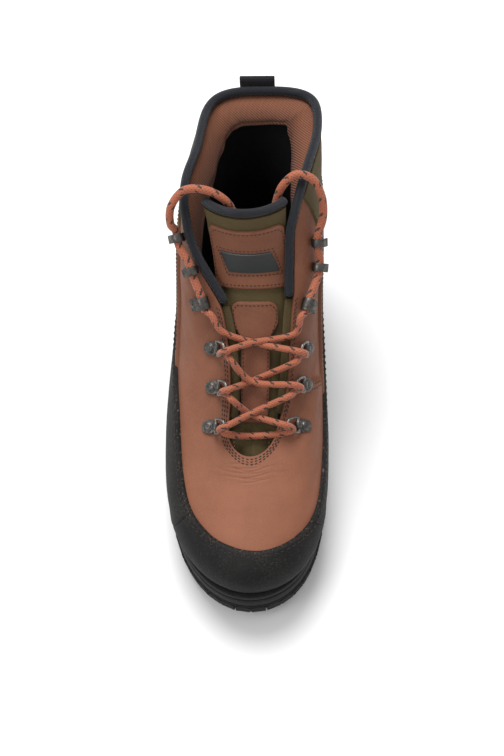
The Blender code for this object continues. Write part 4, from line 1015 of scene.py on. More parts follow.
@functools.cache
def ribbed_finish():
    """The collar's lining: fine slanting knitted ribs with painted shade in their grooves, and painted
    shade towards its inner edge.
    """
    colour = bpy.context.scene.boot_colours.lining
    made, tree, shader = new_material("ribbed_lining")
    spot = object_place(tree)
    rise = put(tree, "ShaderNodeVectorMath", {0: spot, 1: RIB_DIRECTION}, operation="DOT_PRODUCT")
    rib = calc(tree, "SINE", calc(tree, "MULTIPLY", rise.outputs["Value"], 2 * math.pi / RIB_PITCH))
    run = put(tree, "ShaderNodeVectorMath", {0: spot, 1: KNIT_DIRECTION}, operation="DOT_PRODUCT")
    knit = calc(tree, "SINE", calc(tree, "MULTIPLY", run.outputs["Value"], 2 * math.pi / RIB_PITCH))
    height = calc(tree, "MULTIPLY_ADD", knit, 0.25, rib)
    # painted shade in the grooves between the ribs
    shade = spread(tree, height, -1.2, 1.0)
    worn = spread(tree, noise(tree, spot, 60.0, 4.0), 0.3, 0.7)
    base = mixed(tree, shade, tinted(colour, 0.60), tinted(colour, 1.15))
    base = mixed(tree, calc(tree, "MULTIPLY", worn, 0.4), base, tinted(colour, 1.3))
    # painted shade towards the lining's inner edge, from its deep mark
    deep = spread(tree, mark(tree, "deep"), 0.12, 0.60, 0.0, 0.75)
    base = mixed(tree, deep, base, tinted(colour, 0.3))
    tree.links.new(base, shader["Base Color"])
    tree.links.new(spread(tree, shade, 0.0, 1.0, 0.95, 0.8), shader["Roughness"])
    shader["Sheen Weight"].default_value = 0.04
    raise_surface(tree, shader, height, 0.0004, 0.7)
    return made


@functools.cache
def metal_finish(name, bright=1.0):
    """Aged steel: worn bright on top with dark, rougher patches."""
    colour = bpy.context.scene.boot_colours.metal
    made, tree, shader = new_material(name)
    spot = object_place(tree)
    patches = spread(tree, noise(tree, spot, 420.0, 5.0, 0.65), 0.35, 0.70)
    base = mixed(tree, patches, tinted(colour, 1.15 * bright), tinted(colour, 0.42 * bright))
    tree.links.new(base, shader["Base Color"])
    shader["Metallic"].default_value = 1.0
    tree.links.new(spread(tree, patches, 0.0, 1.0, 0.28, 0.55), shader["Roughness"])
    scratch = noise(tree, spot, 1800.0, 3.0, 0.7)
    raise_surface(tree, shader, scratch, 0.00008, 0.5)
    return made


@functools.cache
def lace_finish():
    """Round braid: slanted strands both ways with painted shade between them, and pairs of dark dashes
    along it.
    """
    colours = bpy.context.scene.boot_colours
    made, tree, shader = new_material("braided_lace")
    parts = put(tree, "ShaderNodeSeparateXYZ", {0: pattern_place(tree)})
    along, turn = parts.outputs[0], parts.outputs[1]
    strands = {}
    for sign in (1, -1):
        lead = calc(tree, "MULTIPLY", turn, sign * BRAID_STRANDS * 2 * math.pi)
        wave = calc(tree, "MULTIPLY_ADD", along, 2 * math.pi / BRAID_PITCH, lead)
        strands[sign] = calc(tree, "SINE", wave)
    braid = calc(tree, "MAXIMUM", strands[1], strands[-1])
    # painted shade between the braid's strands
    body = spread(tree, braid, -0.6, 1.0)
    base = mixed(tree, body, tinted(colours.lace, 0.76), tinted(colours.lace, 1.08))
    beat = calc(tree, "FRACT", calc(tree, "DIVIDE", along, DASH_PITCH))
    third = calc(tree, "FRACT", calc(tree, "MULTIPLY", turn, 3.0))
    dashes = []
    for middle, side in DASHES:
        strand = calc(tree, "MULTIPLY_ADD", beat, DASH_SLANT, side - DASH_SLANT * middle)
        reach = calc(tree, "COMPARE", beat, middle, DASH_REACH)
        beside = calc(tree, "COMPARE", third, strand, DASH_HALF)
        dashes.append(calc(tree, "MULTIPLY", beside, reach))
    dash = calc(tree, "MAXIMUM", *dashes)
    base = mixed(tree, calc(tree, "MULTIPLY", dash, 0.92), base, tinted(colours.dash, 1.0))
    tree.links.new(base, shader["Base Color"])
    tree.links.new(spread(tree, body, 0.0, 1.0, 0.85, 0.62), shader["Roughness"])
    shader["Sheen Weight"].default_value = 0.15
    raise_surface(tree, shader, braid, 0.00022, 0.6)
    return made


@functools.cache
def thread_finish(name, factor=1.0):
    """Twisted sewing thread."""
    colour = bpy.context.scene.boot_colours.thread
    made, tree, shader = new_material(name)
    fibres = noise(tree, object_place(tree), 3200.0, 2.0, 0.6)
    base = mixed(tree, fibres, tinted(colour, 0.6 * factor), tinted(colour, 1.4 * factor))
    tree.links.new(base, shader["Base Color"])
    tree.links.new(spread(tree, fibres, 0.3, 0.7, 0.6, 0.8), shader["Roughness"])
    return made


@functools.cache
def badge_finish():
    """A bare moulded badge: dark and slightly glossy with a fine pebbled skin."""
    made, tree, shader = new_material("bare_badge")
    spot = object_place(tree)
    pebbles = noise(tree, spot, 1900.0, 2.0, 0.5)
    base = mixed(tree, pebbles, (0.004, 0.005, 0.005, 1), (0.011, 0.013, 0.013, 1))
    tree.links.new(base, shader["Base Color"])
    tree.links.new(spread(tree, pebbles, 0.3, 0.7, 0.34, 0.48), shader["Roughness"])
    raise_surface(tree, shader, pebbles, 0.00012, 0.5)
    return made


@functools.cache
def floor_finish():
    """Matte, nearly white paper."""
    made, tree, shader = new_material("pale_floor")
    tone = spread(tree, noise(tree, object_place(tree), 3.0, 3.0), 0.3, 0.7, 0.0, 1.0)
    base = mixed(tree, tone, (0.86, 0.86, 0.865, 1), (0.88, 0.88, 0.88, 1))
    tree.links.new(base, shader["Base Color"])
    shader["Roughness"].default_value = 0.9
    return made


def olive_cloth():
    """Cloth of the tongue, the throat rolls and the shaft panel."""
    return cloth_finish("olive_cloth", "fabric", 1500.0, sheen=0.0)


def binding_cloth():
    """Tape round the collar and the tongue's top."""
    return cloth_finish("binding_tape", "binding", 1300.0, 0.30, 0.0002, 0.62, 0.1)


# Stitching


def wall_line(knots, count=80, offset=0.0):
    """Points and normals of a line on the boot's wall through (angle, level) knots."""
    knots = np.asarray(knots, float)
    at = np.linspace(0, len(knots) - 1, count)
    phi, level = smooth(np.arange(len(knots)), knots, at).T
    return boot_wall(phi, level, offset), wall_normal(phi, level, offset)


def tongue_line(knots, count=80, offset=0.0):
    """Points and normals of a line on the tongue through (place, across) knots."""
    knots = np.asarray(knots, float)
    at = np.linspace(0, len(knots) - 1, count)
    place_on, across = np.column_stack(
        [np.interp(at, np.arange(len(knots)), knots[:, k]) for k in (0, 1)]
    ).T
    points = tongue_face(place_on, across, offset)
    return points, (tongue_face(place_on, across, offset + NORMAL_STEP) - points) / NORMAL_STEP


def stitch_places(points, normals, pitch):
    """Middle, direction and normal of each stitch at even steps along a line."""
    length = lengths_along(points)
    count = max(2, int(length[-1] / pitch))
    at = (np.arange(count) + 0.5) * length[-1] / count
    middle = np.column_stack([np.interp(at, length, points[:, k]) for k in range(3)])
    out = np.column_stack([np.interp(at, length, normals[:, k]) for k in range(3)])
    ahead = frame_along(middle)
    return middle, ahead, unit(out - ahead * (out * ahead).sum(1, keepdims=True))


def add_stitches(name, lines, stitch, finish):
    """Sewn stitches: one small capsule, bowed into the surface at its ends, is repeated at
    each place of every line."""
    pitch, length, radius = stitch
    turn = np.linspace(0, 2 * math.pi, 7)
    along = np.array([-0.5, -0.44, -0.25, 0.25, 0.44, 0.5]) * length
    size = np.array([0.0, 0.6, 1.0, 1.0, 0.6, 0.0]) * radius
    sink = -np.abs(along / length * 2) ** 3 * radius * 0.9
    shape = np.stack(
        np.broadcast_arrays(
            along[:, None], size[:, None] * np.cos(turn), size[:, None] * np.sin(turn) + sink[:, None]
        ),
        -1,
    ).reshape(-1, 3)
    places = [stitch_places(*line, pitch) for line in lines]
    middle, ahead, out = (np.concatenate(part) for part in zip(*places))
    axes = np.stack([ahead, np.cross(out, ahead), out], axis=1)
    points = middle[:, None] + np.einsum("pk,nkc->npc", shape, axes)
    cell = grid_quads(np.arange(len(shape)).reshape(6, 7))
    faces = cell[None] + np.arange(len(middle))[:, None, None] * len(shape)
    return add_piece(name, place(points.reshape(-1, 3)), faces.reshape(-1, 4), [finish])


# Pieces


def crease_depth(phi, level):
    """How far the vamp's folds sink and their shoulders rise. Each groove is its bundle's
    line moved up or down and bent by a slow sine; across it a bell curve goes in, and a
    wider, lower one goes out, both fading towards the groove's own ends."""
    rng = np.random.default_rng(5)
    turned = (phi + math.pi) % (2 * math.pi) - math.pi
    move = np.zeros(np.broadcast(phi, level).shape)
    dark = np.zeros_like(move)
    for line, count, spread_out in VAMP_FOLDS:
        knots = np.array(line)
        for k in range(count):
            shift = spread_out * (k - (count - 1) / 2) + rng.normal(0, 0.012)
            first, last = sorted(rng.uniform(knots[0, 0], knots[-1, 0], 2))
            first, last = min(first, -0.2), max(last, 0.25)
            bend = rng.uniform(0.010, 0.022) * np.sin(turned * rng.uniform(7, 12) + 9 * k)
            where = smooth(knots[:, 0], knots[:, 1], turned) + shift + bend
            distance = (level - where) * LEVEL_STEP
            fade = np.clip(np.minimum(turned - first, last - turned) / 0.16, 0, 1) ** 1.5
            sunk = np.exp(-((distance / FOLD_HALF) ** 2))
            proud = np.exp(-((distance / (3.0 * FOLD_HALF)) ** 2))
            move += fade * FOLD_DEPTH * (0.6 * proud - 1.5 * sunk)
            # painted shade along the bottom of each groove
            dark += fade * sunk * rng.uniform(0.3, 0.7)
    return move, np.clip(dark, 0, 1)


def quarter_step(phi, level):
    """The vamp's edge lies over the quarter behind it: a small step along the seam's line."""
    turned = (phi + math.pi) % (2 * math.pi) - math.pi
    knots = np.array(QUARTER_SEAM)
    where = smooth(knots[:, 0], knots[:, 1], turned)
    distance = (level - where) * 0.020
    inside = (turned > knots[0, 0]) & (turned < 1.5)
    before = np.clip(0.5 - distance / 0.0009, 0, 1)
    reach = np.clip((turned - knots[0, 0]) / 0.2, 0, 1)
    return np.where(inside, 0.0008 * reach * before, 0.0)


def shell_levels():
    """Levels of the upper's rows: closer together over the folds and the throat's curve."""
    return np.concatenate(
        [
            np.linspace(0, 3.5, 30, endpoint=False),
            np.linspace(3.5, THROAT_BOTTOM, 126, endpoint=False),
            THROAT_BOTTOM + THROAT_ROUND * np.linspace(0, 1, 16) ** 2,
            np.linspace(5.25, TOP_RING, 78),
        ]
    )


def rim_line(extra, offset):
    """Points along the shell's free edge, up the inner throat edge, round the collar and
    down the outer throat edge, moved past the edge by extra within the wall's surface."""
    levels = shell_levels()
    levels = levels[levels >= BINDING_FROM]
    angles, heights = open_rows(levels, np.linspace(0, 1, 161))
    route = [np.concatenate([g[:, 0], g[-1, 1:-1], g[:, -1][::-1]]) for g in (angles, heights)]
    edge = evened(boot_wall(*route, offset), 0.002)
    route = [np.interp(np.linspace(0, 1, len(edge)), np.linspace(0, 1, len(r)), r) for r in route]
    edge = boot_wall(*route, offset)
    normal = wall_normal(*route, offset)
    away = unit(np.cross(frame_along(edge), normal))
    return edge + away * extra, normal, away


def make_upper(sizes):
    """The leather shell: the boot's wall as a fine grid with its folds and seam step, the
    lining on its inner face."""
    levels = shell_levels()
    angles, heights = open_rows(levels, front_heavy(SHELL_COLUMNS))
    move, dark = crease_depth(angles, heights)
    slack = UPPER_SLACK * ripples(angles * 3, heights * 1.5, 4)
    edge = np.clip((heights - THROAT_BOTTOM) * 4, 0, 1)
    move = move * sizes.fold_depth + slack + quarter_step(angles, heights)
    outer = boot_wall(angles, heights, move)
    inner = boot_wall(angles, heights, -LEATHER)
    uv = wall_pattern(angles, heights)
    closed = int((levels <= THROAT_BOTTOM).sum())
    finishes = [
        leather_finish("vamp_leather"),
        cloth_finish("dark_lining", "footbed", 1300.0, 0.4, 0.00025, 0.92, 0.05),
    ]
    # the mark holds painted shade in the creases, halved above the throat's bottom
    add_sheet(
        "dressed_upper", outer, inner, finishes, "leather", ["upper"], uv, closed,
        {"fold": np.clip(dark * (1 - 0.5 * edge), 0, 1)},
    )


def make_rand(sizes):
    """The toe cap and the rand: thick at the sole, rounded at their edges, with an uneven
    moulded surface."""
    outer_low, outer_high, inner_low, inner_high = np.radians(CAP_ENDS)
    seam = math.radians(0.12)
    for name, columns, thickness, finish in (
        ("toe_cap", 161, CAP_THICKNESS, rubber_finish("toe_rubber", 0.75, 0.70)),
        ("side_rand", 301, RAND_THICKNESS, rubber_finish("rand_rubber", 0.85, 0.72)),
    ):
        share = eased(30, 2.2)[:, None]
        inner_end = inner_low + (inner_high - inner_low) * share
        outer_end = outer_low + (outer_high - outer_low) * share
        across = eased(columns, 1.12)[None, :]
        if name == "toe_cap":
            angles = inner_end - (inner_end + outer_end) * across
        else:
            first, last = inner_end + seam, 2 * math.pi - outer_end - seam
            angles = first + (last - first) * across
        top = rand_level(angles)
        heights = top * share
        to_top = (1 - share) * top * 0.013
        to_end = np.minimum(across, 1 - across) * (0.16 if name == "toe_cap" else 0.5)
        round_off = end_rounding(to_top, 0.0016) * (0.90 + 0.10 * end_rounding(to_end, 0.0007))
        slack = RAND_SLACK * ripples(angles * 9, heights * 6, 8) * sizes.rand_waves
        if name == "side_rand":
            thickness = thickness + (CAP_THICKNESS - thickness) * ease(1 - to_end / 0.014)
        offset = 0.0002 + (OVERLAY_GAP + thickness - 0.0002) * round_off + slack * round_off
        faces = []
        for out in (offset, -0.0004 + 0 * offset):
            face = boot_wall(angles, heights, out)
            face[..., 2] = np.maximum(face[..., 2], sole_top(face[..., 1]) + GAP)
            faces.append(face)
        rim = np.exp(-to_top / 0.0016) * np.ones_like(angles)
        add_sheet(f"dressed_{name}", *faces, [finish], "rubber", [name], marks={"rim": rim})


def make_panels():
    """The leather ankle panel and the cloth above it, round the back of the shaft: bands of
    the boot's wall whose thickness falls off along a quarter circle at every edge."""
    for name, span, finish, slot in (
        ("ankle_panel", ANKLE_SPAN, leather_finish("panel_leather", 0.92), "leather"),
        ("shaft_panel", SHAFT_SPAN, olive_cloth(), "fabric"),
    ):
        start, pull, sweep, widen, thickness = span
        across = eased(141, 1.1)[None, :]
        share = eased(46, 1.5)[:, None]
        angles = np.radians(start - pull * share + (sweep + widen * share) * across)
        if name == "ankle_panel":
            low = rand_level(angles[0]) - 0.12
            top = PANEL_TOP
        else:
            low, top = PANEL_TOP + 0.06, SHAFT_TOP
        heights = low + (top - low) * share + 0 * angles
        to_edge = np.minimum(
            np.minimum(share, 1 - share) * 0.075, np.minimum(across, 1 - across) * 0.19
        )
        offset = -0.0001 + (OVERLAY_GAP + thickness) * (0.15 + 0.85 * end_rounding(to_edge, 0.0011))
        offset = offset + PANEL_SLACK * ripples(angles * 4, heights * 3, 12)
        uv = wall_pattern(angles, heights)
        # the mark holds painted shade along every edge of the panel; only the leather finish reads it
        add_sheet(
            f"dressed_{name}", boot_wall(angles, heights, offset),
            boot_wall(angles, heights, -0.0004), [finish], slot, [name], uv,
            marks={"fold": 0.25 * np.exp(-to_edge / 0.0012)},
        )


def make_sole():
    """Midsole with its groove and bead, outsole plate with its lugs, and the insole. Each is
    its profile carried round the sole's outline, or round the upper's foot for the insole."""
    phi = np.linspace(0, 2 * math.pi, SOLE_AROUND, endpoint=False)
    rings = []
    for share, inset in MIDSOLE_PROFILE:
        plan = sole_outline(phi, inset)
        low = underside(plan[:, 1]) + LUG_DEPTH + OUTSOLE_PLATE + GAP
        rings.append(np.column_stack([plan, low + (sole_top(plan[:, 1]) - low) * share]))
    side_rubber = rubber_finish("midsole_rubber", 0.85, 0.66)
    add_rings("dressed_midsole", rings, [side_rubber], ["midsole"])
    rings = []
    for rise, inset in OUTSOLE_PROFILE:
        plan = sole_outline(phi, inset)
        height = underside(plan[:, 1]) + LUG_DEPTH + rise * OUTSOLE_PLATE
        rings.append(np.column_stack([plan, height]))
    tread = rubber_finish("tread_rubber", 0.9, 0.78)
    add_rings("dressed_outsole", rings, [tread], ["outsole"])
    make_lugs(tread)
    around = np.linspace(0, 2 * math.pi, 121)
    wall = boot_wall(around, 0.15, -(LEATHER + INSOLE_CLEARANCE))
    middle = (wall + wall[::-1]) / 2
    rings = []
    for rise, size in INSOLE_PROFILE:
        ring = middle + (wall - middle) * size
        height = sole_top(ring[:, 1]) + GAP + rise * INSOLE_THICKNESS
        rings.append(np.column_stack([ring[:, :2], height]))
    rings = np.array(rings)
    index = np.arange(rings.shape[0] * 121).reshape(-1, 121)
    add_piece(
        "dressed_insole",
        place(rings.reshape(-1, 3)),
        grid_quads(index),
        [cloth_finish("footbed_cloth", "footbed", 1100.0, 0.5, 0.0003, 0.95, 0.05)],
        ["insole"],
        rings.reshape(-1, 3)[:, :2],
    )


def lug_corners():
    """Plan corners of every lug, and how far its outer and inner sides bulge: along the edge
    at even steps with none at the arch, and slanted cleats in one or two files down the
    middle of the forefoot and the heel."""
    fine = np.linspace(0, 2 * math.pi, 1441)
    plan = sole_outline(fine)
    length = lengths_along(plan)
    count = int(length[-1] / LUG_PITCH)
    lugs, bulges = [], []
    for k in range(count):
        start = (k + 0.5) * length[-1] / count
        run = np.interp(start, length, plan[:, 1]) / OUTSOLE_LENGTH
        width = LUG_WIDTH + (TOE_LUG_WIDTH - LUG_WIDTH) * np.clip((run - 0.80) / 0.08, 0, 1)
        phi = np.interp(start + np.array([-0.5, 0, 0.5]) * width, length, fine)
        outer, inner = sole_outline(phi, -LUG_REACH), sole_outline(phi, LUG_INWARD)
        if not 0.25 < outer[1, 1] / OUTSOLE_LENGTH < 0.475:
            lugs.append([outer[0], outer[2], inner[2], inner[0]])
            bulges.append([edge[1] - (edge[0] + edge[2]) / 2 for edge in (outer, inner)])
    for first, last in ((0.10, 0.21), (0.52, 0.90)):
        for k in range(int((last - first) * OUTSOLE_LENGTH / CLEAT_PITCH) + 1):
            run = first * OUTSOLE_LENGTH + k * CLEAT_PITCH
            phi = math.acos(2 * run / OUTSOLE_LENGTH - 1)
            ends = sole_outline(np.array([phi, -phi]))[:, 0]
            clear = LUG_INWARD + 0.3 * LUG_WIDTH
            room = ends[0] - ends[1] - 2 * clear
            fits = min(2, int(room / CLEAT_WIDTH + 0.25))
            for j in range(fits):
                side = ends[1] + clear + room * (j + 0.5) / fits
                half = 0.5 * min(CLEAT_WIDTH, room / fits) - 0.12 * CLEAT_WIDTH
                slant = 0.18 * CLEAT_LENGTH * (1 if (j + k) % 2 else -1)
                deep = 0.5 * CLEAT_LENGTH
                lugs.append(
                    [
                        [side - half, run - deep + slant], [side + half, run - deep - slant],
                        [side + half, run + deep - slant], [side - half, run + deep + slant],
                    ]
                )
                bulges.append(np.zeros((2, 2)))
    return np.array(lugs), np.array(bulges)


def make_lugs(finish):
    """Each lug is a block that narrows towards its foot, split by a narrow cut across it:
    its plan corners are blended across into two halves, whose ends at the cut are moved out
    onto the sole's edge."""
    corners, bulges = lug_corners()
    halves = []
    for low, high in ((0.0, 0.475), (0.525, 1.0)):
        first = corners[:, [0, 3]] + (corners[:, [1, 2]] - corners[:, [0, 3]]) * low
        second = corners[:, [0, 3]] + (corners[:, [1, 2]] - corners[:, [0, 3]]) * high
        first, second = first + bulges * (low > 0), second + bulges * (high < 1)
        halves.append(np.stack([first[:, 0], second[:, 0], second[:, 1], first[:, 1]], axis=1))
    blocks = np.concatenate(halves)
    whole = np.tile(corners.mean(1, keepdims=True), (2, 1, 1))
    foot_plan = whole + (blocks - whole) * 0.92
    foot = np.concatenate([foot_plan, underside(foot_plan[..., 1])[..., None]], axis=2)
    top = underside(blocks[..., 1])[..., None] + LUG_DEPTH + LUG_BITE
    top = np.concatenate([blocks, top], axis=2)
    cut_top = np.concatenate([corners, corners[..., :1] * 0], axis=2)
    cut_top[..., 2] = underside(corners[..., 1]) + LUG_DEPTH + LUG_BITE
    cut_foot = cut_top - np.array([0, 0, LUG_BITE + 0.45 * LUG_DEPTH])
    points = np.concatenate([np.concatenate([foot, top], 1), np.concatenate([cut_foot, cut_top], 1)])
    box = np.array([[0, 1, 2, 3], [4, 5, 6, 7], [0, 1, 5, 4], [1, 2, 6, 5], [2, 3, 7, 6], [3, 0, 4, 7]])
    faces = box[None] + np.arange(len(points))[:, None, None] * 8
    made = add_piece("tread_lugs", place(points.reshape(-1, 3)), faces.reshape(-1, 4), [finish])
    bevel_edges(made, 0.0006)


def make_collar(sizes):
    """Padded ribbed lining, whose pad swells between its edges, the binding carried round
    the rim, and the padded rolls carried along the throat's two edges."""
    share = front_heavy(181)
    rows = np.linspace(0, 1, 44)
    low = LINING_LOW + LINING_LIFT * np.sin(math.pi * share) ** 1.5
    heights = low + (9.98 - low) * rows[:, None]
    corner = np.clip(np.minimum(share, 1 - share) / CORNER_SHARE, 0, 1)
    heights -= np.maximum(0, heights - 8) * CORNER_DROP * (1 - corner) ** 2
    inner, outer = throat_edges(heights)
    angles = inner + (outer + 2 * math.pi - inner) * share + 0.06 * (1 - 2 * share)
    near = np.clip(np.minimum(share, 1 - share) / 0.16, 0, 1)
    swell = smooth(*zip(*LINING_SWELL), rows)[:, None]
    full = COLLAR_PAD + COLLAR_SWELL - COLLAR_PAD_EDGE
    pad = COLLAR_PAD_EDGE * swell**0.5 + full * swell * near**0.7
    pad = pad * (0.2 + 0.8 * end_rounding(np.minimum(share, 1 - share) * 0.28, 0.006))
    soft = 1 + 0.06 * ripples(angles * 5, heights * 3, 21)
    uv = wall_pattern(angles, heights)
    # the deep mark, 1 at the lining's inner edge and 0 at the rim, holds painted shade
    lining = add_sheet(
        "padded_lining", boot_wall(angles, heights, -LEATHER + 0.0002),
        boot_wall(angles, heights, -(LEATHER + OVERLAY_GAP + pad * soft * sizes.collar_fill)),
        [ribbed_finish()], "lining", ["collar_lining"], uv,
        marks={"deep": (1 - rows[:, None]) + 0 * heights},
    )
    path, normal, _ = rim_line(BINDING_RADIUS + BINDING_SEAT, -LEATHER / 2)
    add_cord(
        "bound_rim", path, (BINDING_RADIUS, BINDING_RADIUS), [binding_cloth()],
        ["collar_binding"], normal[0], 20,
    )
    levels = np.linspace(5.55, 7.75, 60)
    for name, pick in (("throat_roll_medial", 0), ("throat_roll_lateral", 1)):
        edge = throat_edges(levels)[pick]
        depth = -(LEATHER + ROLL_THICK * math.sin(math.pi / 3) + GAP)
        base = boot_wall(edge, levels, depth)
        inward = unit(boot_wall(edge * 0.9, levels, depth) - base)
        roll = add_cord(
            f"padded_{name}", base + inward * ROLL_SHIFT, (ROLL_WIDE, ROLL_THICK), [olive_cloth()],
            [name], inward[0], 20,
        )


def tongue_grid(first, last, half, rows, columns, corner):
    """A grid on the tongue between two places, its corners rounded by quarter ovals."""
    share = (1 - np.cos(np.linspace(0, math.pi, rows))) / 2
    places = first + (last - first) * share
    edge = np.minimum(share, 1 - share) * (last - first) / corner
    narrow = np.sqrt(1 - (1 - np.clip(edge, 0, 1)) ** 2)
    reach = half - corner * STEP_ON_TONGUE * (1 - narrow)
    across = (2 * eased(columns, 1.3) - 1)[None, :] * np.reshape(reach, (-1, 1))
    return np.repeat(places[:, None], columns, axis=1), across


def add_on_tongue(name, places, across, low, thickness, finish, slot, node, edge_radius=0.0012):
    """A sheet on the tongue with rounded edges: its thickness falls off along a quarter
    circle towards every edge."""
    reach = np.abs(across).max(1, keepdims=True)
    to_side = reach - np.abs(across)
    to_end = np.minimum(places - places.min(), places.max() - places) * STEP_ON_TONGUE
    height = thickness * (0.2 + 0.8 * end_rounding(np.minimum(to_side, to_end), edge_radius))
    uv = np.stack([across, places * STEP_ON_TONGUE], -1)
    # the mark holds painted shade along every edge of the sheet
    return add_sheet(
        name, tongue_face(places, across, low + height), tongue_face(places, across, low - 0.0003),
        [finish], slot, [node], uv,
        marks={"fold": 0.35 * np.exp(-np.minimum(to_side, to_end) / 0.0010)},
    )


def make_tongue(sizes):
    """The padded tongue with its binding, patch, bare badge and lower strip: sheets on the
    tongue's face, with rounded edges."""
    share = eased(110, 1.15)[:, None]
    rows = TONGUE_TOP * share
    spread_out = (2 * eased(61, 1.35) - 1)[None, :]
    across = spread_out * tongue_reach(rows)
    rows = np.repeat(rows, 61, axis=1)
    to_end = np.minimum(rows, TONGUE_TOP + 0.1 - rows) * STEP_ON_TONGUE
    edge = np.minimum((1 - np.abs(spread_out)) * 0.028, to_end)
    half = 0.5 * TONGUE_THICKNESS * (0.3 + 0.7 * end_rounding(edge, 0.0026))
    puff = 0.0004 * ripples(across * 160, rows * 3.2, 31) * sizes.tongue_puff
    dent = 0.0005 * np.exp(-((across / 0.0008) ** 2)) * (rows < 1.6)
    uv = np.stack([across, rows * STEP_ON_TONGUE], -1)
    tongue = add_sheet(
        "padded_tongue",
        tongue_face(rows, across, half - TONGUE_THICKNESS / 2 + puff - dent),
        tongue_face(rows, across, -half - TONGUE_THICKNESS / 2),
        [olive_cloth(), cloth_finish("tongue_lining", "footbed", 1300.0, 0.4, 0.00025, 0.92, 0.05)],
        "fabric",
        ["tongue"],
        uv,
    )
    leather = leather_finish("tongue_leather", 0.98)
    thick = OVERLAY_GAP + PATCH_THICKNESS
    places, across = tongue_grid(*PATCH_SPAN, PATCH_HALF + PATCH_MORE, 60, 61, 0.25)
    add_on_tongue("sewn_patch", places, across, 0.0002, thick, leather, "leather", "tongue_patch")
    places = np.repeat(np.linspace(*BADGE_SPAN, 24)[:, None], 40, axis=1)
    slant = np.linspace(BADGE_SLANT, -BADGE_SLANT, 24)[:, None]
    left, right = BADGE_SIDES
    across = left + slant + (right - left) * eased(40, 1.3)[None, :]
    raised = OVERLAY_GAP + BADGE_THICKNESS
    add_on_tongue(
        "bare_badge", places, across, thick, raised, badge_finish(), "rubber", "tongue_badge", 0.0006
    )
    first, last = STRIP_SPAN
    places, across = tongue_grid(first, last, STRIP_HALF, 100, 41, 0.2)
    wide = ease((places - (last - HEAD_LENGTH)) / (HEAD_LENGTH / 2))
    across = across * (1 + (STRIP_HEAD / STRIP_HALF - 1) * wide)
    add_on_tongue("sewn_strip", places, across, 0.0002, thick, leather, "leather", "tongue_strip")
    depth = -TONGUE_THICKNESS / 2
    ends = np.linspace(-1, 1, 41) * tongue_reach(TONGUE_TOP)
    top = tongue_face(np.full(41, TONGUE_TOP), ends, depth)
    up = unit(top - tongue_face(np.full(41, TONGUE_TOP - 0.1), ends, depth))
    add_cord(
        "bound_tongue",
        top + up * (TONGUE_BINDING_RADIUS + BINDING_SEAT),
        (TONGUE_BINDING_RADIUS, TONGUE_BINDING_RADIUS + 0.0003),
        [binding_cloth()],
        ["tongue_binding"],
        up[0],
        20,
    )


def make_pull_loop():
    """A webbing loop behind the collar: a strip along a curve in the boot's middle plane."""
    back = RINGS[TOP_RING, 2] * OUTSOLE_LENGTH
    rim = COLLAR_HEIGHT
    middle_run = back - BINDING_RADIUS - WEBBING_THICKNESS - GAP / 3
    line = np.array(
        [
            [-0.00105, rim - LOOP_BELOW_COLLAR],
            [-0.00105, rim + 0.002],
            [-LOOP_GAP * 0.7, rim + 0.45 * LOOP_ABOVE_COLLAR],
            [-LOOP_GAP * 0.75, rim + 0.8 * LOOP_ABOVE_COLLAR],
            [0.0, rim + LOOP_ABOVE_COLLAR],
            [LOOP_GAP * 0.75, rim + 0.8 * LOOP_ABOVE_COLLAR],
            [LOOP_GAP * 0.6, rim + 0.45 * LOOP_ABOVE_COLLAR],
            [0.00105, rim + 0.002],
            [0.00105, rim - LOOP_BELOW_COLLAR],
        ]
    )
    fine = smooth(np.arange(9), line, np.linspace(0, 8, 81))
    fine[:, 0] += middle_run
    turn = frame_along(fine)
    sideways = np.stack([-turn[:, 1], turn[:, 0]], axis=1)
    middle = RINGS[TOP_RING, 7] * BALL_WIDTH - LOOP_OFFSET
    across = eased(33, 1.5) - 0.5
    thinned = end_rounding((0.5 - np.abs(across)) * WEBBING_WIDTH, 0.0012)
    half = 0.5 * WEBBING_THICKNESS * (0.5 + 0.5 * thinned)
    layers = []
    for sign in (1, -1):
        flat = fine[None] + sign * sideways[None] * half[:, None, None]
        side = np.broadcast_to((middle + across * WEBBING_WIDTH)[:, None, None], flat[..., :1].shape)
        layers.append(np.concatenate([side, flat], axis=-1))
    length = lengths_along(fine)
    uv = np.stack(np.broadcast_arrays(across[:, None] * WEBBING_WIDTH, length[None]), -1)
    finish = cloth_finish("webbing", "footbed", 900.0, 0.45, 0.0004, 0.75, 0.05)
    add_sheet("webbing_loop", *layers, [finish], "binding", ["pull_loop"], uv)


def arc(centre, radius, first, last, count):
    """Points of a circle's arc, from one angle to another in degrees."""
    turn = np.radians(np.linspace(first, last, count))
    return np.array(centre) + radius * np.stack([np.cos(turn), np.sin(turn)], axis=1)


def strip_outline(line, thickness):
    """Outline of a bent strip from its middle line, in its own plane."""
    line = np.asarray(line, float)
    turn = frame_along(line)
    sideways = np.stack([-turn[:, 1], turn[:, 0]], axis=1) * thickness / 2
    return np.concatenate([line + sideways, (line - sideways)[::-1]])


def prism_shape(outline, low, high):
    """A straight prism on a closed outline, along the axis out of the leather."""
    count = len(outline)
    points = np.concatenate([np.insert(outline, 2, end, axis=1) for end in (low, high)])
    near = np.arange(count)
    sides = np.stack([near, (near + 1) % count, count + (near + 1) % count, count + near], -1)
    return points, [near.tolist(), (near + count).tolist()] + sides.tolist()


def turned_shape(profile, centre):
    """A profile of (radius, height) turned about the axis out of the leather."""
    profile = np.asarray(profile, float)
    turn = np.linspace(0, 2 * math.pi, RIVET_SIDES + 1)
    ring = np.stack([np.cos(turn), np.sin(turn)], -1) * profile[:, :1, None] + np.asarray(centre)
    rise = np.broadcast_to(profile[:, 1:2, None], ring[..., :1].shape)
    points = np.concatenate([ring, rise], -1).reshape(-1, 3)
    return points, grid_quads(np.arange(len(points)).reshape(len(profile), -1)).tolist()


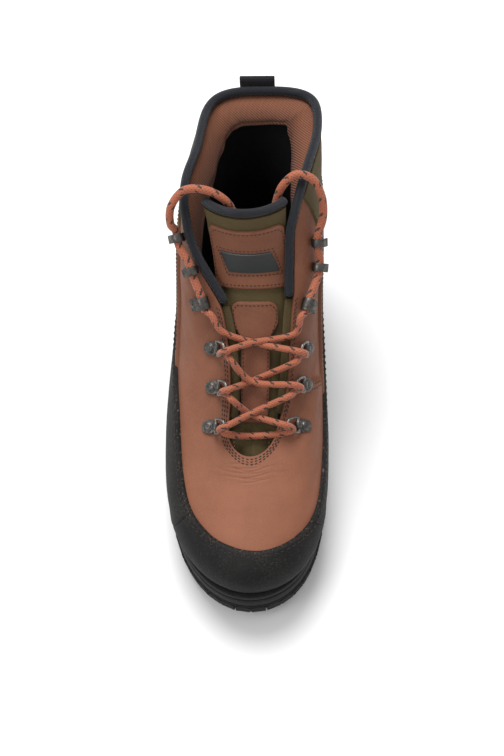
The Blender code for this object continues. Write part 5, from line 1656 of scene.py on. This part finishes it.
def strip_shape(line, thickness, half):
    """A bent strip of sheet metal with rounded long edges: its outline carried across."""
    inward = np.array([0, 0.3, 1]) * SHEET_ROUNDING
    across = np.concatenate([inward - half, half - inward[::-1]])
    shrink = np.array([1, 0.3, 0, 0, 0.3, 1]) * SHEET_ROUNDING
    rows = [strip_outline(line, thickness - 2 * s) for s in shrink]
    points = np.concatenate([np.insert(row, 1, a, axis=1) for row, a in zip(rows, across)])
    count = len(rows[0])
    index = np.arange(len(points)).reshape(6, count)
    wrap = np.concatenate([index, index[:, :1]], axis=1)
    faces = grid_quads(wrap).tolist()
    half_way = count // 2
    for end in (index[0], index[-1]):
        near, far = end[:half_way], end[::-1][:half_way]
        faces += np.stack([near[:-1], near[1:], far[1:], far[:-1]], -1).tolist()
    return points, faces


def joined_shapes(shapes):
    """Points and faces of several shapes as one."""
    points, faces, start = [], [], 0
    for corners, cells in shapes:
        points.append(corners)
        faces += [[start + v for v in cell] for cell in cells]
        start += len(corners)
    return np.concatenate(points), faces


def rivet_profile(radius, low, dimpled=False):
    """Radius and height along a rivet head, with a rim, and a dimple where it has one."""
    steps = [(0, -0.4), (1.0, -0.4), (1.0, 0.25), (0.96, 0.42), (0.86, 0.50), (0.80, 0.44)]
    if dimpled:
        steps += [(0.74, 0.70), (0.60, 0.95), (0.42, 1.00), (0.30, 0.80), (0.16, 0.62), (0, 0.58)]
    else:
        steps += [(0.76, 0.60), (0.66, 0.80), (0.46, 0.95), (0.24, 1.0), (0, 1.02)]
    return [(radius * r, low + RIVET_CROWN * h) for r, h in steps]


def make_hardware(rings, hooks):
    """Riveted plates with their D rings, locking hooks and open hooks, each shape worked out
    once in its own frame and set on every seat."""
    across, height = BAR_AT
    half = PLATE_WIDTH / 2
    ears = half + 0.0004
    outline = np.concatenate(
        [
            arc((0, 0), half, 90, 270, 21),
            [
                [across - 0.0035, -ears], [across - 0.0010, -BARREL_HALF],
                [across - 0.0010, BARREL_HALF], [across - 0.0035, ears],
            ],
        ]
    )
    inner, sheet = BARREL
    floor = height - inner - sheet
    curl = arc((across, height), inner + sheet / 2, -90, 185, 20)
    start = [[across - 0.0030, height - inner - sheet / 2], [across - 0.0012, height - inner - sheet / 2]]
    plate = joined_shapes(
        [
            prism_shape(outline, floor, floor + PLATE_THICKNESS),
            strip_shape(np.concatenate([start, curl]), sheet, BARREL_HALF),
            turned_shape(rivet_profile(RIVET_RADIUS, floor + PLATE_THICKNESS), (0, 0)),
        ]
    )
    dark = metal_finish("pewter", 0.75)
    for key, (origin, axes) in rings.items():
        piece = set_shape(f"riveted_plate_{key}", plate, origin, axes, dark, f"ring_plate_{key}")
        bevel_edges(piece, 0.00022, 50)
        reach, _ = ring_directions(axes)
        bar = origin + BAR_AT[0] * axes[0] + BAR_AT[1] * axes[2]
        turn = np.linspace(0, math.pi, 41)
        along = (RING_WIDTH / 2 - RING_WIRE) * np.sign(np.cos(turn)) * np.abs(np.cos(turn)) ** 0.75
        out = (RING_REACH - 2 * RING_WIRE) * np.sin(turn) ** 0.8
        line = bar + out[:, None] * reach + along[:, None] * axes[1]
        add_ring(f"steel_ring_{key}", line, RING_WIRE, metal_finish("ring_steel", 1.5), f"d_ring_{key}")
    for key, (origin, axes) in hooks.items():
        locking = key.startswith("4")
        back, width, lip = LOCK_SHAPE if locking else HOOK_SHAPE
        radius = HOOK_THROAT / 2 + HOOK_SHEET / 2
        line = np.concatenate(
            [
                np.linspace([-back, 0], [-0.3 * back, 0], 5),
                arc((HOOK_BEND, radius), radius, -90, 90, 24),
                [[HOOK_BEND - 0.25 * HOOK_THROAT, 2 * radius + 0.4 * lip]],
                [[HOOK_BEND - 0.45 * HOOK_THROAT, 2 * radius + lip]],
            ]
        ) + np.array([0, HOOK_SHEET / 2])
        head = back - RIVET_RADIUS * 0.85
        shape = joined_shapes(
            [
                strip_shape(line, HOOK_SHEET, width / 2),
                turned_shape(rivet_profile(RIVET_RADIUS * 0.8, HOOK_SHEET, locking), (-head, 0)),
            ]
        )
        node = f"lock_hook_{key}" if locking else f"lace_hook_{key}"
        set_shape(f"bent_{node}", shape, origin, axes, dark, node)


def set_shape(name, shape, origin, axes, finish, node):
    """A shape turned from its own frame into its seat's."""
    points, faces = shape
    return add_piece(name, place(origin + points @ axes), faces, [finish], [node], sharp=42)


def add_ring(name, line, radius, finish, node):
    """A closed ring of round wire: the path runs back to its start, and each wire circle
    stands square to it."""
    path = np.concatenate([line, line[:1]])
    path = evened(path, 0.0007)
    around = np.concatenate([path[-3:-1], path, path[1:3]])
    ahead = frame_along(around)[2:-2]
    flat = np.cross(path[len(path) // 4] - path[0], path[len(path) // 2] - path[0])
    flat /= np.linalg.norm(flat)
    side = np.cross(ahead, flat)
    turn = np.linspace(0, 2 * math.pi, WIRE_SIDES + 1)
    rings = (
        path[:, None]
        + radius * np.cos(turn)[None, :, None] * side[:, None]
        + radius * np.sin(turn)[None, :, None] * flat
    )
    rings[-1] = rings[0]
    index = np.arange(rings.shape[0] * rings.shape[1]).reshape(rings.shape[:2])
    add_piece(name, place(rings.reshape(-1, 3)), grid_quads(index), [finish], [node])


# Lace


def through_ring(seat_frame):
    """Way points of a lace that comes in under a ring's wire on the toe side, turns inside
    the ring and leaves over the wire on the ankle side."""
    far, reach, lift = ring_arc_point(*seat_frame)
    return far + np.array(RING_TURN) @ np.stack([reach, seat_frame[1][1], lift])


def make_lace(rings, hooks):
    """One lace from lock hook to lock hook by way of the bar, then its two free ends, which
    follow the solids through the hooks, over the collar and into the boot."""
    clear = TAUT_RADIUS + OVERLAY_GAP + PATCH_THICKNESS + LACE_CLEARANCE
    over = 2 * TAUT_RADIUS * 0.84
    halves = {}
    for first, second, lift in (("lateral", "medial", over), ("medial", "lateral", 0.0)):
        way = [tongue_face(BAR_PLACE - BAR_SAG, 0.0, LACE_RADIUS + LACE_CLEARANCE)]
        sides = (first, second, first)
        for row, (side, place_on) in enumerate(zip(sides, CROSSING_PLACES), 1):
            way += list(through_ring(rings[f"{row}_{side}"]))[row == 1 :]
            way.append(tongue_face(place_on + CROSS_RISE, CROSS_SIDE, clear + lift))
        angle, level = SAG_PLACES[second]
        way.append(boot_wall(math.radians(angle), level, TAUT_RADIUS + SAG_CLEAR))
        way.append(hook_channel(hooks[f"4_{second}"], -LOCK_SHORT, LOCK_INWARD))
        way.append(hook_channel(hooks[f"4_{second}"], -0.9 * HOOK_WIDTH))
        halves[first] = way
    way = halves["lateral"][::-1] + halves["medial"][1:]
    path = curve_through(way, CORD_STEP)
    spots = np.array([ring_arc_point(*ring)[0] for ring in rings.values()])
    near = np.linalg.norm(path[:, None] - spots, axis=2).min(1)
    full = 1 - PINCH * np.exp(-((near / PINCH_REACH) ** 2))
    nodes = ["lace_bar"] + [f"lace_crossing_{row}" for row in (1, 2, 3)]
    radii = (TAUT_RADIUS, TAUT_RADIUS * 0.92)
    add_cord("crossed_lace", path, radii, [lace_finish()], nodes, full=full)
    for side, free in (("lateral", LATERAL_END), ("medial", MEDIAL_END)):
        way = [
            hook_channel(hooks[f"{row}_{side}"], along * HOOK_WIDTH)
            for row in (4, 5, 6)
            for along in (-0.9, 0.9)
        ]
        path = curve_through(way + [np.array(p) for p in free], CORD_STEP)
        lace = add_cord(
            f"free_lace_{side}", path, (LACE_RADIUS, LACE_RADIUS), [lace_finish()],
            [f"lace_end_{side}"], (0, 1, 0),
        )
        ahead = frame_along(path)[-1]
        tip = path[-1] + ahead * np.linspace(-0.002, AGLET_LENGTH, 12)[:, None]
        aglet = add_cord(
            f"lace_tip_{side}", tip, (AGLET_RADIUS, AGLET_RADIUS), [metal_finish("tip_metal", 0.5)],
            [f"aglet_{side}"], (0, 1, 0),
        )
        place(path[0])
        place(path).tolist()


def make_stitching():
    """Every sewn seam: round the throat, along the rand, the quarter, the panels, the
    collar's binding and the pieces on the tongue."""
    curve = THROAT_BOTTOM + THROAT_ROUND * np.linspace(0, 1, 16) ** 2
    levels = np.concatenate([curve, np.linspace(5.3, 7.7, 40)])
    seams = []
    for away, top in ((0.0016, 7.7), (0.0031, 7.7), (0.0046, 5.9)):
        for pick in (0, 1):
            edge = throat_edges(levels)[pick]
            sign = 1 if pick == 0 else -1
            inner = levels <= top
            above = levels[inner] - THROAT_BOTTOM
            phi = edge[inner] + sign * away / 0.047 * np.clip(above * 8, 0.0, 1)
            level = levels[inner] - away / LEVEL_STEP * np.clip(1 - above * 3, 0, 1)
            seams.append((boot_wall(phi, level, 0.0001), wall_normal(phi, level, 0.0001)))
    for shift in (0.07, 0.20):
        seams.append(wall_line([(p, q - shift) for p, q in QUARTER_SEAM[1:]], offset=0.0008))
    add_stitches("leather_seams", seams, LEATHER_STITCH, thread_finish("dark_thread"))
    angles = np.radians(np.linspace(-178, 178, 400))
    level = rand_level(angles) - 0.24
    points = boot_wall(angles, level, OVERLAY_GAP + RAND_THICKNESS + 0.0002)
    cap = (angles > -math.radians(CAP_ENDS[0])) & (angles < math.radians(CAP_ENDS[2]))
    points[cap] = boot_wall(angles, level, OVERLAY_GAP + CAP_THICKNESS + 0.0001)[cap]
    thread = thread_finish("rand_thread", 0.8)
    add_stitches("rand_seam", [(points, wall_normal(angles, level))], RAND_STITCH, thread)
    path, normal, away = rim_line(BINDING_RADIUS + BINDING_SEAT, -LEATHER / 2)
    ride = normal * 0.75 - away * 0.66
    line = path + ride * (BINDING_RADIUS + 0.0001)
    inner = -normal * 0.75 - away * 0.66
    other = path + inner * (BINDING_RADIUS + 0.0001)
    thread = thread_finish("binding_thread", 1.2)
    add_stitches("binding_seam", [(line, ride), (other, inner)], BINDING_STITCH, thread)
    make_tongue_stitching()
    make_panel_stitching()


def make_tongue_stitching():
    """Seams inside the edges of the patch, the badge's window and the strip, as lines of
    (place, across) knots, and the two tacks at the tongue's foot."""
    low, high = PATCH_SPAN
    rise = OVERLAY_GAP + PATCH_THICKNESS + 0.0003
    inset, step = 0.0022, 0.0022 / STEP_ON_TONGUE
    half = PATCH_HALF + PATCH_MORE - inset
    short = half * 0.85
    border = [(low + step, -short), (low + step, short), (low + 0.3, half), (high - 0.3, half)]
    border += [(high - step, short), (high - step, -short), (high - 0.3, -half), (low + 0.3, -half)]
    lines = [tongue_line(border + border[:1], 400, rise)]
    left, right = BADGE_SIDES
    low, high = BADGE_SPAN
    left, right = left - 0.0018, right + 0.0018
    window = [(low - 0.08, left + BADGE_SLANT), (low - 0.08, right + BADGE_SLANT)]
    window += [(high + 0.08, right - BADGE_SLANT), (high + 0.08, left - BADGE_SLANT)]
    lines.append(tongue_line(window + window[:1], 300, rise))
    first, last = STRIP_SPAN
    head, narrow = STRIP_HEAD - 0.0018, STRIP_HALF - 0.0018
    border = [(first + 0.3, -narrow), (last - 0.95, -narrow), (last - 0.45, -head), (last - 0.2, -head)]
    border += [(last - 0.09, -head * 0.82), (last - 0.09, head * 0.82)]
    border += [(last - 0.2, head), (last - 0.45, head), (last - 0.95, narrow), (first + 0.3, narrow)]
    lines.append(tongue_line(border, 400, rise))
    add_stitches("tongue_seams", lines, TONGUE_STITCH, thread_finish("dark_thread"))
    tacks = [tongue_line([(0.84, side), (1.16, side * 1.05)], 20, 0.0009) for side in (-0.0115, 0.0115)]
    finish = thread_finish("tack_thread", 14.0)
    add_stitches("tongue_tacks", tacks, TACK_STITCH, finish)


def make_panel_stitching():
    """Double seams inside the ankle panel's two front edges and its top edge."""
    lines = []
    for inset in (0.045, 0.085):
        for start, end in ((80, 76), (280, 284)):
            sign = 1 if start == 80 else -1
            phi = np.radians([start, (start + end) / 2, end]) + sign * inset
            level = np.array([rand_level(np.radians(start)) + 0.3, 6.0, PANEL_TOP - 0.1])
            lines.append(wall_line(np.stack([phi, level], -1), 80, OVERLAY_GAP + ANKLE_PANEL + 0.0001))
    across = np.radians(np.linspace(79, 281, 120))
    for drop in (0.13, 0.25):
        points = boot_wall(across, PANEL_TOP - drop, OVERLAY_GAP + ANKLE_PANEL + 0.0001)
        lines.append((points, wall_normal(across, PANEL_TOP - drop)))
    add_stitches("panel_seams", lines, PANEL_STITCH, thread_finish("dark_thread"))


# Stage

CAMERA_AT = (0.06097, -0.6332, 1.1529)
CAMERA_DIP = math.radians(60)
CAMERA_TURN = math.radians(2.62)
CAMERA_LENS = 85.0
SENSOR = 36.0
FLOOR_REACH = 12.0
LIGHTS = (
    ("soft_light_above", (-0.20, 0.85, 1.95), 1.2, 44.0),
    ("soft_light_front", (-1.2, -0.8, 1.5), 1.0, 7.0),
)
SKY_STRENGTH = 0.64


def make_stage():
    """Camera at the photograph's angle, turned a little so the one boot stands in the
    middle; a pale floor; a soft light above the heel and a weaker one in front."""
    data = bpy.data.cameras.new("camera")
    data.sensor_fit = "VERTICAL"
    data.sensor_height = SENSOR
    data.lens = CAMERA_LENS
    data.clip_end = 50
    camera = add_object("camera", data)
    ahead = np.array([0, math.cos(CAMERA_DIP), -math.sin(CAMERA_DIP)])
    right = np.array([1.0, 0, 0])
    up = np.cross(right, ahead)
    sine, cosine = math.sin(CAMERA_TURN), math.cos(CAMERA_TURN)
    ahead, right = ahead * cosine - right * sine, right * cosine + ahead * sine
    turn = np.eye(4)
    turn[:3, :3] = np.stack([right, up, -ahead], axis=1)
    turn[:3, 3] = CAMERA_AT
    camera.matrix_world = Matrix(turn.tolist())
    bpy.context.scene.camera = camera
    mesh = bpy.data.meshes.new("floor")
    corners = [(x * FLOOR_REACH, y * FLOOR_REACH, 0) for x, y in ((-1, -1), (1, -1), (1, 1), (-1, 1))]
    mesh.from_pydata(corners, [], [[0, 1, 2, 3]])
    mesh.materials.append(floor_finish())
    add_object("floor", mesh)
    for name, place_at, size, power in LIGHTS:
        light = bpy.data.lights.new(name, "AREA")
        light.shape = "DISK"
        light.size = size
        light.energy = power
        lamp = add_object(name, light)
        lamp.location = place_at
        toward = Vector((0, 0, 0.05)) - Vector(place_at)
        lamp.rotation_euler = toward.to_track_quat("-Z", "Y").to_euler()
    world = bpy.data.worlds.new("studio")
    world.use_nodes = True
    background = world.node_tree.nodes["Background"].inputs
    background["Color"].default_value = (1.0, 1.0, 1.0, 1)
    background["Strength"].default_value = SKY_STRENGTH
    bpy.context.scene.world = world
    bpy.context.scene.view_settings.view_transform = "Standard"


# Add-on


class BootSizes(bpy.types.PropertyGroup):
    """Shape settings of the dressed boot."""

    fold_depth: FloatProperty(
        name="Fold depth", description="Depth of the vamp's folds", default=1.0, min=0, max=2
    )
    rand_waves: FloatProperty(
        name="Rand waves", description="Unevenness of the rubber", default=1.0, min=0, max=2
    )
    collar_fill: FloatProperty(
        name="Collar fill", description="Fullness of the collar's padding", default=1.0, min=0.5, max=1.2
    )
    tongue_puff: FloatProperty(
        name="Tongue puff", description="Unevenness of the padded tongue", default=1.0, min=0, max=2
    )


def colour_property(label, note, default):
    """A colour setting, in linear values."""
    return FloatVectorProperty(
        name=label, description=note, default=default, subtype="COLOR", min=0, max=1, size=3
    )


class BootColours(bpy.types.PropertyGroup):
    """Colours of the boot's materials."""

    leather: colour_property("Leather", "Oiled leather of the upper", (0.190, 0.074, 0.042))
    rubber: colour_property("Rubber", "Rand, toe cap and sole", (0.0058, 0.0058, 0.0060))
    fabric: colour_property("Cloth", "Cloth of the tongue and the shaft", (0.080, 0.058, 0.024))
    lining: colour_property("Lining", "Ribbed collar lining", (0.180, 0.062, 0.029))
    footbed: colour_property("Inner lining", "Dark cloth inside the boot", (0.008, 0.008, 0.010))
    binding: colour_property("Binding", "Tape round the collar and the loop", (0.0075, 0.0088, 0.0135))
    metal: colour_property("Metal", "Rings, plates and hooks", (0.155, 0.145, 0.135))
    lace: colour_property("Lace", "Main colour of the lace", (0.34, 0.092, 0.040))
    dash: colour_property("Lace dashes", "Dark dashes in the lace", (0.012, 0.008, 0.008))
    thread: colour_property("Thread", "Sewing thread", (0.022, 0.010, 0.008))


class BootOperator:
    """Shared settings of the operators."""

    bl_options = {"REGISTER", "UNDO"}


class BOOT_OT_stage(BootOperator, bpy.types.Operator):
    """Sets the camera, the floor and the lights"""

    bl_idname = "boot.stage"
    bl_label = "Stage"

    def execute(self, context):
        make_stage()
        return {"FINISHED"}


class BOOT_OT_lace(BootOperator, bpy.types.Operator):
    """Runs the lace through its rings and hooks and lays its free ends"""

    bl_idname = "boot.lace"
    bl_label = "Lace"

    def execute(self, context):
        make_lace(*hardware_seats())
        return {"FINISHED"}


class BOOT_OT_sole(BootOperator, bpy.types.Operator):
    """Makes the midsole, the tread and the insole"""

    bl_idname = "boot.sole"
    bl_label = "Sole"

    def execute(self, context):
        make_sole()
        return {"FINISHED"}


class BOOT_OT_upper(BootOperator, bpy.types.Operator):
    """Makes the leather upper with its folds"""

    bl_idname = "boot.upper"
    bl_label = "Upper"

    def execute(self, context):
        make_upper(context.scene.boot_sizes)
        return {"FINISHED"}


class BOOT_OT_rand(BootOperator, bpy.types.Operator):
    """Makes the rubber toe cap and rand"""

    bl_idname = "boot.rand"
    bl_label = "Toe cap and rand"

    def execute(self, context):
        make_rand(context.scene.boot_sizes)
        return {"FINISHED"}


class BOOT_OT_panels(BootOperator, bpy.types.Operator):
    """Makes the ankle panel and the shaft panel"""

    bl_idname = "boot.panels"
    bl_label = "Panels"

    def execute(self, context):
        make_panels()
        return {"FINISHED"}


class BOOT_OT_collar(BootOperator, bpy.types.Operator):
    """Makes the padded collar, its binding and the throat rolls"""

    bl_idname = "boot.collar"
    bl_label = "Collar"

    def execute(self, context):
        make_collar(context.scene.boot_sizes)
        return {"FINISHED"}


class BOOT_OT_tongue(BootOperator, bpy.types.Operator):
    """Makes the tongue with its patch, badge, strip and binding"""

    bl_idname = "boot.tongue"
    bl_label = "Tongue"

    def execute(self, context):
        make_tongue(context.scene.boot_sizes)
        return {"FINISHED"}


class BOOT_OT_pull_loop(BootOperator, bpy.types.Operator):
    """Makes the webbing loop behind the collar"""

    bl_idname = "boot.pull_loop"
    bl_label = "Pull loop"

    def execute(self, context):
        make_pull_loop()
        return {"FINISHED"}


class BOOT_OT_hardware(BootOperator, bpy.types.Operator):
    """Makes the riveted plates, rings and hooks"""

    bl_idname = "boot.hardware"
    bl_label = "Metalware"

    def execute(self, context):
        make_hardware(*hardware_seats())
        return {"FINISHED"}


class BOOT_OT_stitching(BootOperator, bpy.types.Operator):
    """Sews the seams"""

    bl_idname = "boot.stitching"
    bl_label = "Stitching"

    def execute(self, context):
        make_stitching()
        return {"FINISHED"}


OPERATORS = (
    BOOT_OT_stage, BOOT_OT_lace, BOOT_OT_sole, BOOT_OT_upper, BOOT_OT_rand, BOOT_OT_panels,
    BOOT_OT_collar, BOOT_OT_tongue, BOOT_OT_pull_loop, BOOT_OT_hardware, BOOT_OT_stitching,
)


class BOOT_PT_pieces(bpy.types.Panel):
    """Lists the boot's pieces and settings"""

    bl_label = "Wading boot"
    bl_idname = "BOOT_PT_pieces"
    bl_space_type = "VIEW_3D"
    bl_region_type = "UI"
    bl_category = "Boot"

    def draw(self, context):
        for operator in OPERATORS:
            self.layout.operator(operator.bl_idname)
        for group in (context.scene.boot_sizes, context.scene.boot_colours):
            for name in group.__annotations__:
                self.layout.prop(group, name)


CLASSES = (BootSizes, BootColours, *OPERATORS, BOOT_PT_pieces)


def register():
    """Registers the classes and adds the settings to the scene."""
    for made in CLASSES:
        bpy.utils.register_class(made)
    bpy.types.Scene.boot_sizes = PointerProperty(type=BootSizes)
    bpy.types.Scene.boot_colours = PointerProperty(type=BootColours)


def unregister():
    """Takes the settings and the classes away again."""
    del bpy.types.Scene.boot_colours
    del bpy.types.Scene.boot_sizes
    for made in reversed(CLASSES):
        bpy.utils.unregister_class(made)


def main():
    """Makes every group of pieces in order."""
    register()
    for operator in OPERATORS:
        getattr(bpy.ops.boot, operator.bl_idname.split(".")[1])()


if __name__ == "__main__":
    main()
